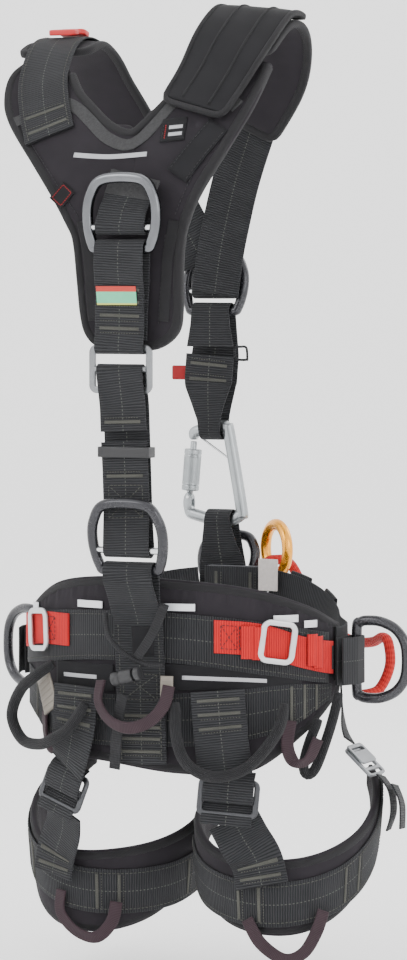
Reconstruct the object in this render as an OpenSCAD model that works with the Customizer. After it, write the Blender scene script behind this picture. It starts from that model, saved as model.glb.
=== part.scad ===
// Tree climbing saddle: a full-body work harness seen as its maker would lay it out.
// Millimetres, +Z up, the wearer faces +Y, origin on the waist's axis at the belt's middle.

/* [Waist belt] */
// Half width of the waist opening
waist_x = 138; // [130:1:150]
// Half depth of the waist opening
waist_y = 102; // [95:1:112]
// Thickness of the belt pad
pad_t = 8; // [6:0.5:10]

/* [Webbing] */
// Width of the load-bearing webbing
web_w = 45; // [40:1:48]
// Thickness of the webbing
web_t = 1.6; // [1.4:0.1:2]
// Width of the red side webbing
red_w = 27; // [24:1:30]

/* [Rings] */
// Bar radius of the steel and alloy attachment rings
ring_bar = 4.6; // [4:0.1:5]
// Inside radius of the bridge ring
bridge_r = 17.5; // [17:0.5:19]
// Width of the bridge ring's flat inner land
bridge_land = 5; // [4:0.5:6]

/* [Connector] */
// Bar radius of the connector
link_bar = 5.4; // [5:0.1:6]

/* [Hidden] */
$fn = 32;
gap = 0.5;         // air between stacked soft layers
fit = 0.6;         // air between a bar and the webbing wrapped round it
layer_1 = pad_t + gap;               // first layer on the belt pad: webbing
layer_2 = layer_1 + web_t + gap;     // second layer: straps sewn over the webbing
layer_3 = layer_2 + web_t + gap;     // third layer: buckles and tapes
BACK = [0, -1, 0];
FRONT = [0, 1, 0];
pin_up = 18;       // an attachment ring's cross pin above its lower bar
pin_r = 3;         // that pin's radius
play = 2;          // air between a tilting bar and the tape looped round it
bar_wrap = ring_bar + play + web_t / 2;
pin_wrap = pin_r + play + web_t / 2;

// ---------- curves and soft solids ----------

function unit(v) = v / norm(v);
function mix(a, b, t) = a + (b - a) * t;
function pos(row) = [row[0], row[1], row[2]];
function face(row) = [row[3], row[4], row[5]];
function wide(row, width) = len(row) > 6 ? row[6] : width;

// Point at share t of stretch i of the smooth curve through the rows p
function curve_at(p, i, t) =
    let (n = len(p) - 1, a = p[max(i - 1, 0)], b = p[i], c = p[i + 1], d = p[min(i + 2, n)])
    0.5 * (2 * b + (c - a) * t + (2 * a - 5 * b + 4 * c - d) * t * t + (3 * b - a - 3 * c + d) * t * t * t);
function smooth(p, k) =
    [for (i = [0:len(p) - 2], j = [0:k - 1]) curve_at(p, i, j / k), p[len(p) - 1]];

// Closed solid between an outer and an inner grid of points of the same size
module slab(outer, inner) {
    m = len(outer);
    n = len(outer[0]);
    function at(side, i, j) = side * m * n + i * n + j;
    points = concat([for (r = outer) each r], [for (r = inner) each r]);
    skin = [for (i = [0:m - 2], j = [0:n - 2]) each [
        [at(0, i, j), at(0, i, j + 1), at(0, i + 1, j + 1)],
        [at(0, i, j), at(0, i + 1, j + 1), at(0, i + 1, j)],
        [at(1, i, j), at(1, i + 1, j + 1), at(1, i, j + 1)],
        [at(1, i, j), at(1, i + 1, j), at(1, i + 1, j + 1)]
    ]];
    ends = [for (j = [0:n - 2]) each [
        [at(0, 0, j), at(1, 0, j + 1), at(0, 0, j + 1)], [at(0, 0, j), at(1, 0, j), at(1, 0, j + 1)],
        [at(0, m - 1, j), at(0, m - 1, j + 1), at(1, m - 1, j + 1)],
        [at(0, m - 1, j), at(1, m - 1, j + 1), at(1, m - 1, j)]
    ]];
    edges = [for (i = [0:m - 2]) each [
        [at(0, i, 0), at(0, i + 1, 0), at(1, i + 1, 0)], [at(0, i, 0), at(1, i + 1, 0), at(1, i, 0)],
        [at(0, i, n - 1), at(1, i + 1, n - 1), at(0, i + 1, n - 1)],
        [at(0, i, n - 1), at(1, i, n - 1), at(1, i + 1, n - 1)]
    ]];
    polyhedron(points, concat(skin, ends, edges), convexity = 10);
}

// Flat tape along a route. A row is [x, y, z, face direction, width], and the width may be left out
module tape(route, width = web_w, thick = web_t, lift = 0, steps = 3) {
    rows = smooth(route, steps);
    n = len(rows);
    along = [for (i = [0:n - 1]) unit(pos(rows[min(i + 1, n - 1)]) - pos(rows[max(i - 1, 0)]))];
    side = [for (i = [0:n - 1]) unit(cross(along[i], face(rows[i])))];
    out = [for (i = [0:n - 1]) cross(side[i], along[i])];
    function edge(i, level) = [for (s = [0.5, -0.5])
        pos(rows[i]) + side[i] * s * wide(rows[i], width) + out[i] * (lift + level * thick)];
    slab([for (i = [0:n - 1]) edge(i, 0.5)], [for (i = [0:n - 1]) edge(i, -0.5)]);
}

// Round bar or cord along a smooth route of points, open or closed on itself
module cord(route, r, sides = 8, steps = 3, closed = false) {
    m = len(route);
    round_trip = closed ? concat([route[m - 1]], route, [route[0], route[1]]) : route;
    path = smooth(round_trip, steps);
    rows = closed ? [for (i = [steps:steps + m * steps - 1]) path[i]] : path;
    n = len(rows);
    function row(i) = closed ? rows[(i + n) % n] : rows[min(max(i, 0), n - 1)];
    along = [for (i = [0:n - 1]) unit(row(i + 1) - row(i - 1))];
    // Each section's first direction is the last one's, turned as little as the bend allows
    function carry(i, v) = i >= n ? []
        : let (u = unit(v - along[i] * (v * along[i]))) concat([u], carry(i + 1, u));
    first = carry(0, abs(along[0][2]) > 0.8 ? [1, 0, 0] : [0, 0, 1]);
    ring = [for (i = [0:n - 1], k = [0:sides - 1])
        rows[i] + r * (first[i] * cos(k * 360 / sides) + cross(along[i], first[i]) * sin(k * 360 / sides))];
    last = closed ? n - 1 : n - 2;
    wall = [for (i = [0:last], k = [0:sides - 1])
        let (a = i * sides + k, b = i * sides + (k + 1) % sides, c = (i + 1) % n * sides)
        each [[a, c + k, c + (k + 1) % sides], [a, c + (k + 1) % sides, b]]];
    caps = closed ? [] : [[for (k = [0:sides - 1]) k], [for (k = [sides - 1:-1:0]) (n - 1) * sides + k]];
    polyhedron(ring, concat(wall, caps), convexity = 10);
}

// Point on the waist at angle a (0 is the wearer's right, -90 the back), off outside the body
function waist(a, z, off) = [(waist_x + off) * cos(a), (waist_y + off) * sin(a), z];

// Panel round the waist between heights low(a) and high(a) given as lists over the angles
module waist_panel(angles, low, high, off, thick, columns = 4) {
    function row(i, level) = [for (c = [0:columns])
        waist(angles[i], mix(low[i], high[i], c / columns), off + level)];
    slab([for (i = [0:len(angles) - 1]) row(i, thick)], [for (i = [0:len(angles) - 1]) row(i, 0)]);
}

// Smooth list of k numbers through a few driving heights
function spread(heights, k) =
    [for (i = [0:k - 1]) let (t = i / (k - 1) * (len(heights) - 1), j = min(floor(t), len(heights) - 2))
        curve_at(heights, j, t - j)];
function steps_of(from, to, k) = [for (i = [0:k - 1]) from + (to - from) * i / (k - 1)];

// ---------- rods, frames and loops ----------

module rod(a, b, r) {
    d = b - a;
    translate(a) rotate([0, acos(d[2] / norm(d)), atan2(d[1], d[0])]) cylinder(h = norm(d), r = r);
}

module rounded(w, h, r) {
    square([w - 2 * r, h], center = true);
    square([w, h - 2 * r], center = true);
    for (x = [-1, 1], y = [-1, 1]) translate([x * (w / 2 - r), y * (h / 2 - r)]) circle(r);
}

// Flat buckle frame in the XY plane: outer size, rim width, one middle bar
module slider_frame(w, h, rim, thick, bar) {
    difference() {
        linear_extrude(thick, center = true) difference() {
            rounded(w, h, 7);
            square([w - 2 * rim, h - 2 * rim], center = true);
        }
    }
    translate([-(w - 2 * rim) / 2 - 0.5, 0, 0]) rotate([0, 90, 0]) cylinder(h = w - 2 * rim + 1, r = bar);
}

// Attachment ring in the XY plane: lower bar along X at the origin, bow towards +Y
module attachment_ring(w, h, r) {
    half = w / 2 - r;
    bow = h - 2 * r;
    cord([for (p = [[-0.62, 0], [0.62, 0], [0.86, 0.08], [1, 0.42], [0.92, 0.74], [0.55, 0.97], [-0.55, 0.97],
        [-0.92, 0.74], [-1, 0.42], [-0.86, 0.08]]) [p[0] * half, p[1] * bow, 0]], r, 12, 4, true);
}

// Places a two-bar ring: its middle at p, leaning out by lean, turned to face the back or the front
module ring_seat(p, lean, front = false) {
    translate(p) rotate([0, 0, front ? 180 : 0]) rotate([lean, 0, 0]) upright() translate([0, -pin_up / 2, 0])
        children();
}
function bar_low(p, lean, s = -1) = p + [0, -s * pin_up / 2 * sin(lean), -pin_up / 2 * cos(lean)];
function bar_pin(p, lean, s = -1) = p + [0, s * pin_up / 2 * sin(lean), pin_up / 2 * cos(lean)];

// Rows of tape round a bar at c along X, at radius r, from angle a to angle b (0 is the front)
function round_bar(c, r, a, b, k = 6, width = web_w) = [for (i = [0:k]) let (t = mix(a, b, i / k))
    [c[0], c[1] + r * cos(t), c[2] + r * sin(t), 0, cos(t), sin(t), width]];

module upright() { rotate([90, 0, 0]) children(); }  // turns the XY plane to face the back, +Y becomes +Z

// ---------- waist belt ----------

belt_angles = steps_of(-200, 4, 35);
belt_top = spread([40, 48, 63, 86, 93, 91, 84, 68, 50], 35);
belt_low = spread([-4, -12, -28, -58, -65, -72, -70, -38, -8], 35);

module belt_pad() {
    color("#2c2b2e") waist_panel(belt_angles, belt_low, belt_top, 0, pad_t);
}

module belt_webbing() {
    angles = steps_of(-196, -10, 32);
    low = spread([5, 9, 16, 23, 22, 12, 2], 32);
    high = spread([49, 53, 60, 65, 64, 56, 45], 32);
    color("#26272a") waist_panel(angles, low, high, layer_1, web_t, 1);
}

module lower_webbing() {
    angles = steps_of(-150, -8, 26);
    low = spread([-24, -46, -51, -50, -46, -34, -12], 26);
    high = spread([10, -4, -8, -6, -2, 2, 0], 26);
    color("#26272a") waist_panel(angles, low, high, layer_1, web_t, 1);
}

// Printed cloth flap between the two bands of webbing
module belt_flap() {
    color("#232326") for (span = [[-124, -97], [-80, -26]]) {
        angles = steps_of(span[0], span[1], 10);
        low = [for (a = angles) a < -90 ? -4 : mix(-1, 3.4, max(0, (a + 60) / 34))];
        high = [for (a = angles) a < -90 ? 18 : mix(21, 6, max(0, (a + 72) / 46))];
        waist_panel(angles, low, high, layer_1, 0.8, 1);
    }
}

module reflective_tabs() {
    color("#d8dadc") for (a = [-141, -107, -73, -33, -21]) {
        z = a < -120 ? 60.5 : a > -25 ? 51 : a > -40 ? 56.5 : 67;
        half = a < -120 ? 3 : a > -30 ? 3.5 : 5.5;
        waist_panel([a - half, a + half], [z + 0.3, z + 0.3], [z + 6, z + 6], layer_1 + 0.3, 0.6, 1);
    }
}

// Plain webbing round the front of the waist to both sides of the buckle
function front_row(a) = concat(waist(a, 67 - 41 * pow(abs(cos(a)), 2.5), abs(cos(a)) > 0.93 ? 10 : 2.8),
    [cos(a) / waist_x, sin(a) / waist_y, 0] * 120);

module front_belt() {
    color("#26272a") {
        tape([for (a = [-5:9:76]) front_row(a)], steps = 2);
        tape([for (a = [104:9:158]) front_row(a)], steps = 2);
        for (a = [42, 62]) tape([for (d = [-5:5:5]) front_row(a + d) + [0, 3, 0, 0, 0, 0]], 49, 3, steps = 1);
    }
}

// Stiff grey liner tab that stands up behind the bridge ring
module front_tab() {
    color("#b9b4b2") waist_panel([70, 73, 76, 79], [70, 70, 70, 70], [98, 100, 100, 98], -2.6, 1, 1);
}

// Two-part belt buckle: plate with a slot at each end
module front_buckle() {
    color("#4a4c50") translate([0, waist_y + 3.8, 66]) upright() difference() {
        linear_extrude(4, center = true) rounded(62, 50, 6);
        for (x = [-22, 22]) translate([x, 0, 0]) linear_extrude(6, center = true) rounded(5, 46, 2);
    }
}

// ---------- back yoke and shoulders ----------

function yoke_y(z) = z < 400 ? -118 : -118 + 78 * pow((z - 400) / 153, 1.9);

yoke_left = [
    [[-129, 543], [-104, 549]], [[-142, 530], [-84, 528]], [[-139, 508], [-70, 514]],
    [[-127, 488], [-56, 503]], [[-95, 452], [-31, 485]], [[-71, 422], [-8, 478]],
    [[-57, 400], [2, 440]], [[-50, 385], [2, 400]], [[-46, 350], [2, 350]],
    [[-43, 322], [2, 318]], [[-38, 305], [2, 300]], [[-26, 296], [2, 293]]
];
yoke_right = [
    [[103, 536], [57, 548]], [[101, 512], [39, 539]], [[95, 490], [28, 518]], [[80, 457], [15, 500]],
    [[65, 429], [3, 487]], [[56, 409], [2, 440]], [[49, 385], [2, 400]], [[47, 350], [2, 350]],
    [[47, 325], [2, 318]], [[43, 308], [2, 300]], [[27, 296], [2, 293]]
];

module yoke_half(pairs, flip) {
    rows = smooth(pairs, 2);
    function row(i, level) = [for (c = [0:4]) let (q = mix(rows[i][0], rows[i][1], (flip ? 4 - c : c) / 4))
        [q[0], yoke_y(q[1]) + level, q[1]]];
    slab([for (i = [0:len(rows) - 1]) row(i, 0)], [for (i = [0:len(rows) - 1]) row(i, pad_t)]);
}

module back_yoke() {
    color("#322f33") {
        yoke_half(yoke_left, false);
        yoke_half(yoke_right, true);
    }
}

// Label pocket with its folded flap on the right arm of the yoke
module yoke_pocket() {
    color("#1f1f22") {
        tape([[44, yoke_y(440) - 1.7, 440, 0, -1, 0.25], [60, yoke_y(463) - 1.7, 463, 0, -1, 0.42],
            [75, yoke_y(484) - 1.7, 484, 0, -1, 0.5]], 22, 1);
        tape([[34, yoke_y(470) - 1.5, 470, 0, -1, 0.45], [32, yoke_y(490) - 1.5, 490, 0, -1, 0.6]], 22, 0.8);
    }
}

left_route = [
    [-84, yoke_y(476) - 3.4, 476, 0, -1, 0.52], [-97, yoke_y(502) - 3.6, 502, 0, -1, 0.67],
    [-108, yoke_y(529) - 4, 529, 0, -1, 0.83], [-114, -33, 558, 0, -0.5, 0.9],
    [-115, 0, 566, 0, 0.1, 1], [-112, 34, 553, 0, 0.5, 0.85], [-106, 64, 524, 0.1, 0.85, 0.45],
    [-92, 82, 486, 0.1, 1, 0.15], [-68, 93, 437, 0, 1, 0], [-46, 102, 392, 0, 1, 0],
    [-35, 109.5, 366, 0, 1, 0]
];
right_route = [
    [50, yoke_y(498) - 3.6, 498, 0, -1, 0.65], [60, yoke_y(525) - 4.2, 525, 0, -1, 0.81],
    [68, -46, 557, 0.1, -0.5, 0.85], [72, -14, 581, 0.1, -0.1, 1], [71, 16, 580, 0.1, 0.35, 0.95],
    [63, 44, 560, 0.1, 0.7, 0.7], [50, 66, 532, 0.1, 0.9, 0.3], [28, 82, 492, 0, 1, 0.1],
    [7, 92, 444, 0, 1, 0], [-8, 99, 398, 0, 1, 0], [-16, 103.5, 368, 0, 1, 0], [-21, 105.2, 338, 0, 1, 0]
];

// The left strap's end is looped round the sternal ring's pin, the right one is sewn on behind it
module shoulder_strap_left() {
    c = bar_pin(sternal_at, ring_lean, 1);
    color("#26272a") {
        tape(left_route);
        tape(concat([[-30, 111, 364, 0, 1, 0, 33], [-27, c[1] + pin_wrap - 1, c[2] + 10, 0, 1, 0, 33]],
            round_bar(c, pin_wrap, 0, -180, width = 40),
            [[-24, c[1] - pin_wrap, c[2] + 17, 0, -1, 0, 40]]), steps = 1);
    }
}

module shoulder_strap_right() {
    color("#26272a") tape(right_route);
}

// Padded cover over the right shoulder strap
module shoulder_cover() {
    widths = [58, 62, 66, 66, 64];
    color("#232226") tape([for (i = [0:4]) concat(right_route[i], [widths[i]])], thick = 4, lift = 4.4);
}

// Padded sleeve under the shoulder webbing, from row first to row last of its route
module shoulder_pad(route, first, last, widths) {
    tape([for (i = [first:last]) concat(route[i], [widths[i - first]])], thick = pad_t,
        lift = -(pad_t + web_t) / 2 - 1.2);
}

module shoulder_pads() {
    color("#2c2b2e") {
        shoulder_pad(left_route, 3, 7, [58, 58, 52, 48, 46]);
        shoulder_pad(right_route, 2, 7, [58, 60, 64, 66, 64, 46]);
    }
}

// Small red length adjuster on top of the left shoulder strap
module shoulder_adjuster() {
    color("#d8282c") for (y = [-12, 8]) translate([-115, y, 568.5]) rotate([y < 0 ? 6 : -16, 0, 0])
        linear_extrude(5) rounded(26, 13, 4);
}

// ---------- back of the harness ----------

ring_lean = 11;            // the attachment rings lean out from the body by this angle
dorsal_at = [2, -134, 387];

module dorsal_ring() {
    color("#8c9196") ring_seat(dorsal_at, 0) two_bar_ring(74, 70);
}

// Attachment ring with the cross pin riveted between its two sides
module two_bar_ring(w, h) {
    attachment_ring(w, h, ring_bar);
    inside = (w / 2 - ring_bar) * 0.96 - 2;
    translate([0, pin_up, 0]) rotate([0, 90, 0]) cylinder(h = 2 * inside, r = pin_r, center = true);
}

// Short strap that holds the dorsal ring's pin on the yoke
module dorsal_hanger() {
    c = bar_pin(dorsal_at, 0);
    color("#26272a") tape(concat([[9, -119.6, 440, 0, -1, 0.1], [6, -121.5, 430, 0, -1, 0.4],
        [3, -135, 410, 0, -0.8, 0.6]], round_bar(c, pin_wrap, 180, 360),
        [[2, c[1] + pin_wrap, c[2] + 8, 0, 1, 0]]), steps = 1);
}

adjuster_at = [-2, -128, 275];
rim_wrap = 3.4 + 0.6 + web_t / 2;

// Dorsal strap: looped round the ring's lower bar and round the adjuster's upper bar
module dorsal_strap() {
    c = bar_low(dorsal_at, 0);
    rim = adjuster_at + [0, 0, 18];
    color("#26272a") tape(concat(
        [[-2, rim[1] + 3.6, 300, 0, 1, 0], [-1, -124.5, 330, 0, 1, 0], [1, -125.6, 352, 0, 1, 0]],
        round_bar(c, bar_wrap, 0, 180, 8),
        [[1, -139.6, 360, 0, -1, 0], [0, -134, 340, 0, -1, 0], [-1, -132.6, 306, 0, -1, 0]],
        round_bar(rim, rim_wrap, 180, 330)), steps = 1);
}

module fall_indicator() {
    color("#57b98a") tape([[-2, -135.4, 330, 0, -1, 0], [-2, -136.6, 338, 0, -1, 0.1],
        [-2, -138, 346, 0, -1, 0.15]], 37, 0.8);
}

module dorsal_adjuster() {
    color("#7b7f84") translate(adjuster_at) upright() slider_frame(60, 42, 6, 3.2, 2.6);
}

back_ring_at = [7, -130, 111];

// Spine strap: its tail passes over the adjuster's middle bar, its lower end loops round the back ring's pin
module spine_strap() {
    c = bar_pin(back_ring_at, ring_lean);
    bar = adjuster_at;
    color("#26272a") tape(concat(
        [[3, -133.2, 222, 0, -1, 0, 42], [2, -133, 244, 0, -1, 0, 42], [-1, -132.2, 266, 0, -1, 0, 42]],
        round_bar(bar, 2.6 + 0.6 + web_t / 2, 180, 0, width = 42),
        [[-1, -124, 262, 0, 1, 0, 42], [1, -123.8, 244, 0, 1, 0, 42], [3, -124.6, 200, 0, 1, 0, 42],
            [5, -125.6, 150, 0, 1, 0, 42]],
        round_bar(c, pin_wrap, 0, -180, width = 42),
        [[6, -135, 136, 0, -1, 0, 42], [5, -131.6, 158, 0, -1, 0, 42], [4, -132, 190, 0, -1, 0, 42],
            [3, -132.4, 213, 0, -1, 0, 42]]), steps = 1);
}

module spine_keeper() {
    color("#3a3b3e") translate([3.4, -128.6, 204]) difference() {
        cube([49, 15, 9], center = true);
        cube([45, 12.4, 12], center = true);
    }
}

module back_ring() {
    color("#3f444a") ring_seat(back_ring_at, ring_lean) two_bar_ring(76, 69);
}

// Lumbar strap: loop round the back ring's lower bar, then down over the belt
module lumbar_strap() {
    c = bar_low(back_ring_at, ring_lean);
    belt_y = -waist_y - layer_2 - 2.6;
    color("#26272a") tape(concat(
        [[8, -119.6, 72, 0, 1, 0], [8, c[1] + bar_wrap, 92, 0, 1, 0]],
        round_bar(c, bar_wrap, 0, 180, 8),
        [[8, c[1] - bar_wrap, 92, 0, -1, 0], [8, -124, 74, 0, -1, 0], [9, belt_y - 2, 58, 0, -1, 0],
            [10, belt_y, 20, 0, -1, 0], [11, belt_y, -30, 0, -1, 0],
            [12, belt_y, -66, 0, -1, 0]]), steps = 1);
}

// ---------- chest and connector ----------

sternal_at = [-25, 112, 331];

module sternal_ring() {
    color("#2b2d30") ring_seat(sternal_at, ring_lean, true) two_bar_ring(66, 62);
}

link_y = 112;
link_top = [-26, link_y, 215];      // where the chest strap's loop holds the connector
link_foot = [-18, link_y, 131.5];   // where the ventral strap's loop holds it

module chest_strap() {
    c = bar_low(sternal_at, ring_lean, 1);
    r = link_bar + 3.4 + web_t / 2;
    color("#26272a") tape(concat(
        [[-25, c[1] - bar_wrap, 290, 0, -1, 0, 45], [-25, c[1] - bar_wrap, 310, 0, -1, 0, 38]],
        round_bar(c, bar_wrap, 180, 0, 8, 36),
        [[-25, c[1] + bar_wrap, 310, 0, 1, 0, 38], [-26, c[1] + 6, 282, 0, 1, 0, 46],
            [-28, c[1] + 6, 256, 0, 1, 0, 46],
            [-27, link_y + 8.6, 236, 0, 1, 0, 30], [-26, link_y + r, 224, 0, 1, 0, 22]],
        round_bar(link_top, r, 0, -180, 8, 20),
        [[-26, link_y - r, 224, 0, -1, 0, 22], [-27, link_y - 8.6, 236, 0, -1, 0, 30],
            [-28, c[1] - 5, 256, 0, -1, 0, 46], [-26, c[1] - 5.4, 282, 0, -1, 0, 46]]), steps = 1);
}

module chest_tags() {
    color("#8e2226") translate([-58, 108, 266]) upright() linear_extrude(1, center = true) rounded(15, 13, 1);
    color("#26272a") translate([4, 108, 284]) upright() linear_extrude(3, center = true) rounded(13, 13, 1);
}

// Connector: pear-shaped steel bar, gate hinged at its lower end, knurled locking sleeve on the gate
gate_low = [-49.8, 152];
gate_top = [-45.4, 203];
gate_dir = unit(gate_top - gate_low);
pin_bore = 1.55;   // bore radius round the gate pin

module in_link_plane() { translate([0, link_y, 0]) rotate([90, 0, 0]) children(); }

module connector_body() {
    color("#c9ced1") in_link_plane() {
        cord([for (p = [[-45.3, 204.6], [-45.1, 208.5], [-42, 212.4], [-18, 217.6], [-12.6, 216], [-10, 211],
            [2.6, 142], [1.4, 136.6], [-3, 133.6], [-9, 130.6], [-15, 129.6], [-43, 135.6], [-49, 138.4],
            [-50.5, 144]]) [p[0], p[1], 0]], link_bar, 12, 3);
        for (s = [-1, 1]) translate([0, 0, s * 4.1]) difference() {
            hull() {
                translate(gate_low) cylinder(h = 1.6, r = 4, center = true);
                translate([-50.5, 141]) cylinder(h = 1.6, r = 4, center = true);
            }
            translate(gate_low) cylinder(h = 4, r = pin_bore, center = true);
        }
    }
}

// Gate blade with its hub on the hinge pin
module connector_gate() {
    color("#d4d8da") in_link_plane() difference() {
        union() {
            rod([gate_low[0], gate_low[1], 0] + 2.4 * [gate_dir[0], gate_dir[1], 0],
                [gate_top[0], gate_top[1], 0], 3);
            translate(gate_low) cylinder(h = 6.3, r = 3.6, center = true);
        }
        translate(gate_low) cylinder(h = 12, r = pin_bore, center = true);
    }
}

module connector_sleeve() {
    a = gate_low + gate_dir * 6;
    b = gate_low + gate_dir * 44;
    over = [gate_dir[0], gate_dir[1], 0];
    color("#b4babd") in_link_plane() difference() {
        rod([a[0], a[1], 0], [b[0], b[1], 0], 8);
        rod([a[0], a[1], 0] - over, [b[0], b[1], 0] + over, 3.05);
    }
}

module gate_pin() {
    color("#9da2a5") translate([gate_low[0], link_y, gate_low[1]]) rotate([90, 0, 0])
        cylinder(h = 10.4, r = 1.5, center = true);
}

// Thin keeper wire across the connector's top, on the outer side so that the gate can pass it
module captive_bar() {
    y = link_y + link_bar + 1.3;
    color("#a9a59c") rod([-41, y, 206], [-6, y, 183], 1.1);
}

module ventral_ring() {
    color("#232427") translate([-17, 121.5, 78]) rotate([0, 0, 180]) rotate([14, 0, 0]) upright()
        attachment_ring(62, 50, ring_bar);
}

// Ventral strap: hangs the connector's lower bar on the front of the belt
module ventral_strap() {
    r = link_bar + 3.4 + web_t / 2;
    color("#26272a") tape(concat(
        [[-16, 110, 60, 0, -1, 0, 44], [-16, 110, 92, 0, -1, 0, 44], [-17, 105.6, 108, 0, -1, 0.2, 34]],
        round_bar(link_foot, r, 180, 0, 8, 24),
        [[-17, 118.4, 106, 0, 1, 0, 34], [-16, 115, 84, 0, 1, 0, 44],
            [-16, 112.6, 60, 0, 1, 0, 44]]), steps = 1);
}

// ---------- bridge ----------

bridge_at = [33, 122, 106];
bridge_turn = 40;   // the ring's axis is turned this far from front to back

module bridge_rope() {
    color("#c4302b") cord([[154, 34, -14], [164, 50, -10], [171, 58, 10], [168, 62, 30], [158, 72, 34],
        [142, 88, 28], [118, 106, 26], [88, 122, 34], [66, 132, 52], [50, 137, 76], [43, 134, 90],
        [38, 128, 95.4], [33, 122, 96], [28, 116, 95], [23, 113.6, 88], [20, 116, 75], [13, 121, 62],
        [-2, 127, 52],
        [-40, 132, 38], [-96, 116, 28], [-134, 76, 12], [-152, 46, -4]], 4.6, steps = 2);
}

module bridge_ring() {
    r = bridge_r;
    color("#f0a01c") translate(bridge_at) rotate([0, 0, -bridge_turn]) rotate([90, 0, 0])
        rotate_extrude() translate([r, 0]) union() {
            translate([5, 0]) circle(5);
            translate([0, -bridge_land / 2]) square([5, bridge_land]);
        }
}

// ---------- sides ----------

side_r = [158, 14, 20];
side_l = [-158, 14, 18];
side_wrap = ring_bar + fit + web_t / 2;

// Side ring: upright bar at p, bow pointing out at angle
module side_ring(p, angle) {
    translate(p) rotate([0, 0, angle]) rotate([90, 0, 0]) rotate([0, 0, -90])
        cord([[-26, 0, 0], [26, 0, 0], [32, 3, 0], [34, 10, 0], [33, 24, 0], [26, 38, 0], [12, 46, 0],
            [-12, 46, 0], [-26, 38, 0], [-33, 24, 0], [-34, 10, 0], [-32, 3, 0]], ring_bar, 12, 3, true);
}

module side_ring_right() { color("#1d1e20") side_ring(side_r, 0); }
module side_ring_left() { color("#1d1e20") side_ring(side_l, 150); }

// Webbing lug that wraps the side ring's bar; the same bar is the ring's hinge
module side_lug(p, s) {
    r = side_wrap;
    function row(x, y, nx, ny) = [p[0] + s * x, p[1] + y, p[2], s * nx, ny, 0];
    tape(concat([row(-6, -32, -1, 0), row(-r, -14, -1, 0)],
        [for (a = [180:-30:0]) row(r * cos(a), r * sin(a), cos(a), sin(a))],
        [row(r, -14, 1, 0), row(0, -32, 1, 0)]), 40, steps = 1);
}

module side_lugs() {
    color("#26272a") {
        side_lug(side_r, 1);
        side_lug(side_l, -1);
    }
}

module side_straps() {
    color("#d6322f") {
        waist_panel(steps_of(-61, -8, 12), spread([32, 28, 17, 10], 12), spread([59, 55, 43, 37], 12),
            layer_2, web_t, 1);
        waist_panel(steps_of(-152, -116, 8), spread([26, 32, 33], 8), spread([52, 59, 60], 8),
            layer_2, web_t, 1);
    }
}

// Light alloy loop buckle on the red webbing, tangent to the waist at angle a
module side_buckle(a, z, tilt) {
    p = waist(a, z, layer_3 + 2);
    translate(p) rotate([0, 0, atan2(sin(a) / waist_y, cos(a) / waist_x) + 90]) rotate([90, 0, 0])
        rotate([0, 0, tilt]) linear_extrude(3, center = true) difference() {
            rounded(34, 38, 9);
            rounded(23, 28, 2);
        }
}

module side_buckle_right() { color("#d4d6d8") side_buckle(-38, 40, -8); }
module side_buckle_left() { color("#d4d6d8") side_buckle(-133, 44, 4); }

// ---------- cord lock on the back ----------

lock_at = [4, -137, 11];

// Elastic tapes that cross at the cord lock
module cord_tape() {
    color("#18191b") {
        tape([[37, -122, 74, 0, -1, 0], [29, -129, 50, 0, -1, 0], [16, -133.6, 28, 0, -1, 0]], 7, 1.4,
            steps = 2);
        tape([[3, -135, -4, 0, -1, 0], [-4, -130, -28, 0, -1, 0], [-10, -125, -70, 0, -1, 0]], 9, 1.4,
            steps = 2);
        cord([[-20, -122, 64], [-14, -127, 44], [4, -131, 30], [24, -131, 22], [38, -127, 22]], 2.2, 8, 2);
    }
}

lock_axis = [cos(14), 0, sin(14)];

// Cord lock: barrel with a sprung button, standing across the tape
module cord_lock_barrel() {
    color("#3b3d40") translate(lock_at) rotate([0, -14, 0]) rotate([0, 90, 0]) difference() {
        cylinder(h = 20, r = 6, center = true);
        translate([0, 0, 1]) cylinder(h = 22, r = 4.2);
        translate([0, 0, -8]) cylinder(h = 14, r = 4.2);
    }
}

// Button with a hollow stem that the spring stands in
module cord_lock_button() {
    color("#303235") translate(lock_at) rotate([0, -14, 0]) rotate([0, 90, 0]) difference() {
        union() {
            translate([0, 0, 2]) cylinder(h = 10, r = 4.1);
            translate([0, 0, 12]) cylinder(h = 5, r = 6);
        }
        cylinder(h = 12, r = 3.5);
    }
}

module cord_lock_spring() {
    color("#b0b4b8") translate(lock_at) rotate([0, -14, 0]) rotate([0, 90, 0])
        translate([0, 0, -7.8]) difference() {
            cylinder(h = 14.8, r = 3.1);
            translate([0, 0, -1]) cylinder(h = 18, r = 2.1);
        }
}

// ---------- loops on the belt ----------

module gear_loops() {
    color("#2a2b2d") {
        cord([[-78, -107, 17], [-92, -111, 7], [-113, -102, -8], [-126, -94, -32], [-114, -98, -52],
            [-90, -112, -54], [-70, -124, -47], [-52, -128, -36], [-37, -127.5, -14]], 5, steps = 2);
        cord([[47, -123, -10], [50, -127, -40], [60, -127, -62], [79, -118, -73], [100, -107, -69],
            [114, -96, -56], [126, -83, -34], [129, -76, -12]], 5, steps = 2);
        cord([[160, -30, -6], [151, -28, -36], [139, -30, -70], [132, -34, -78], [130, -38, -69],
            [138, -44, -48], [147, -44, -28]], 4.5, steps = 2);
    }
}

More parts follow.
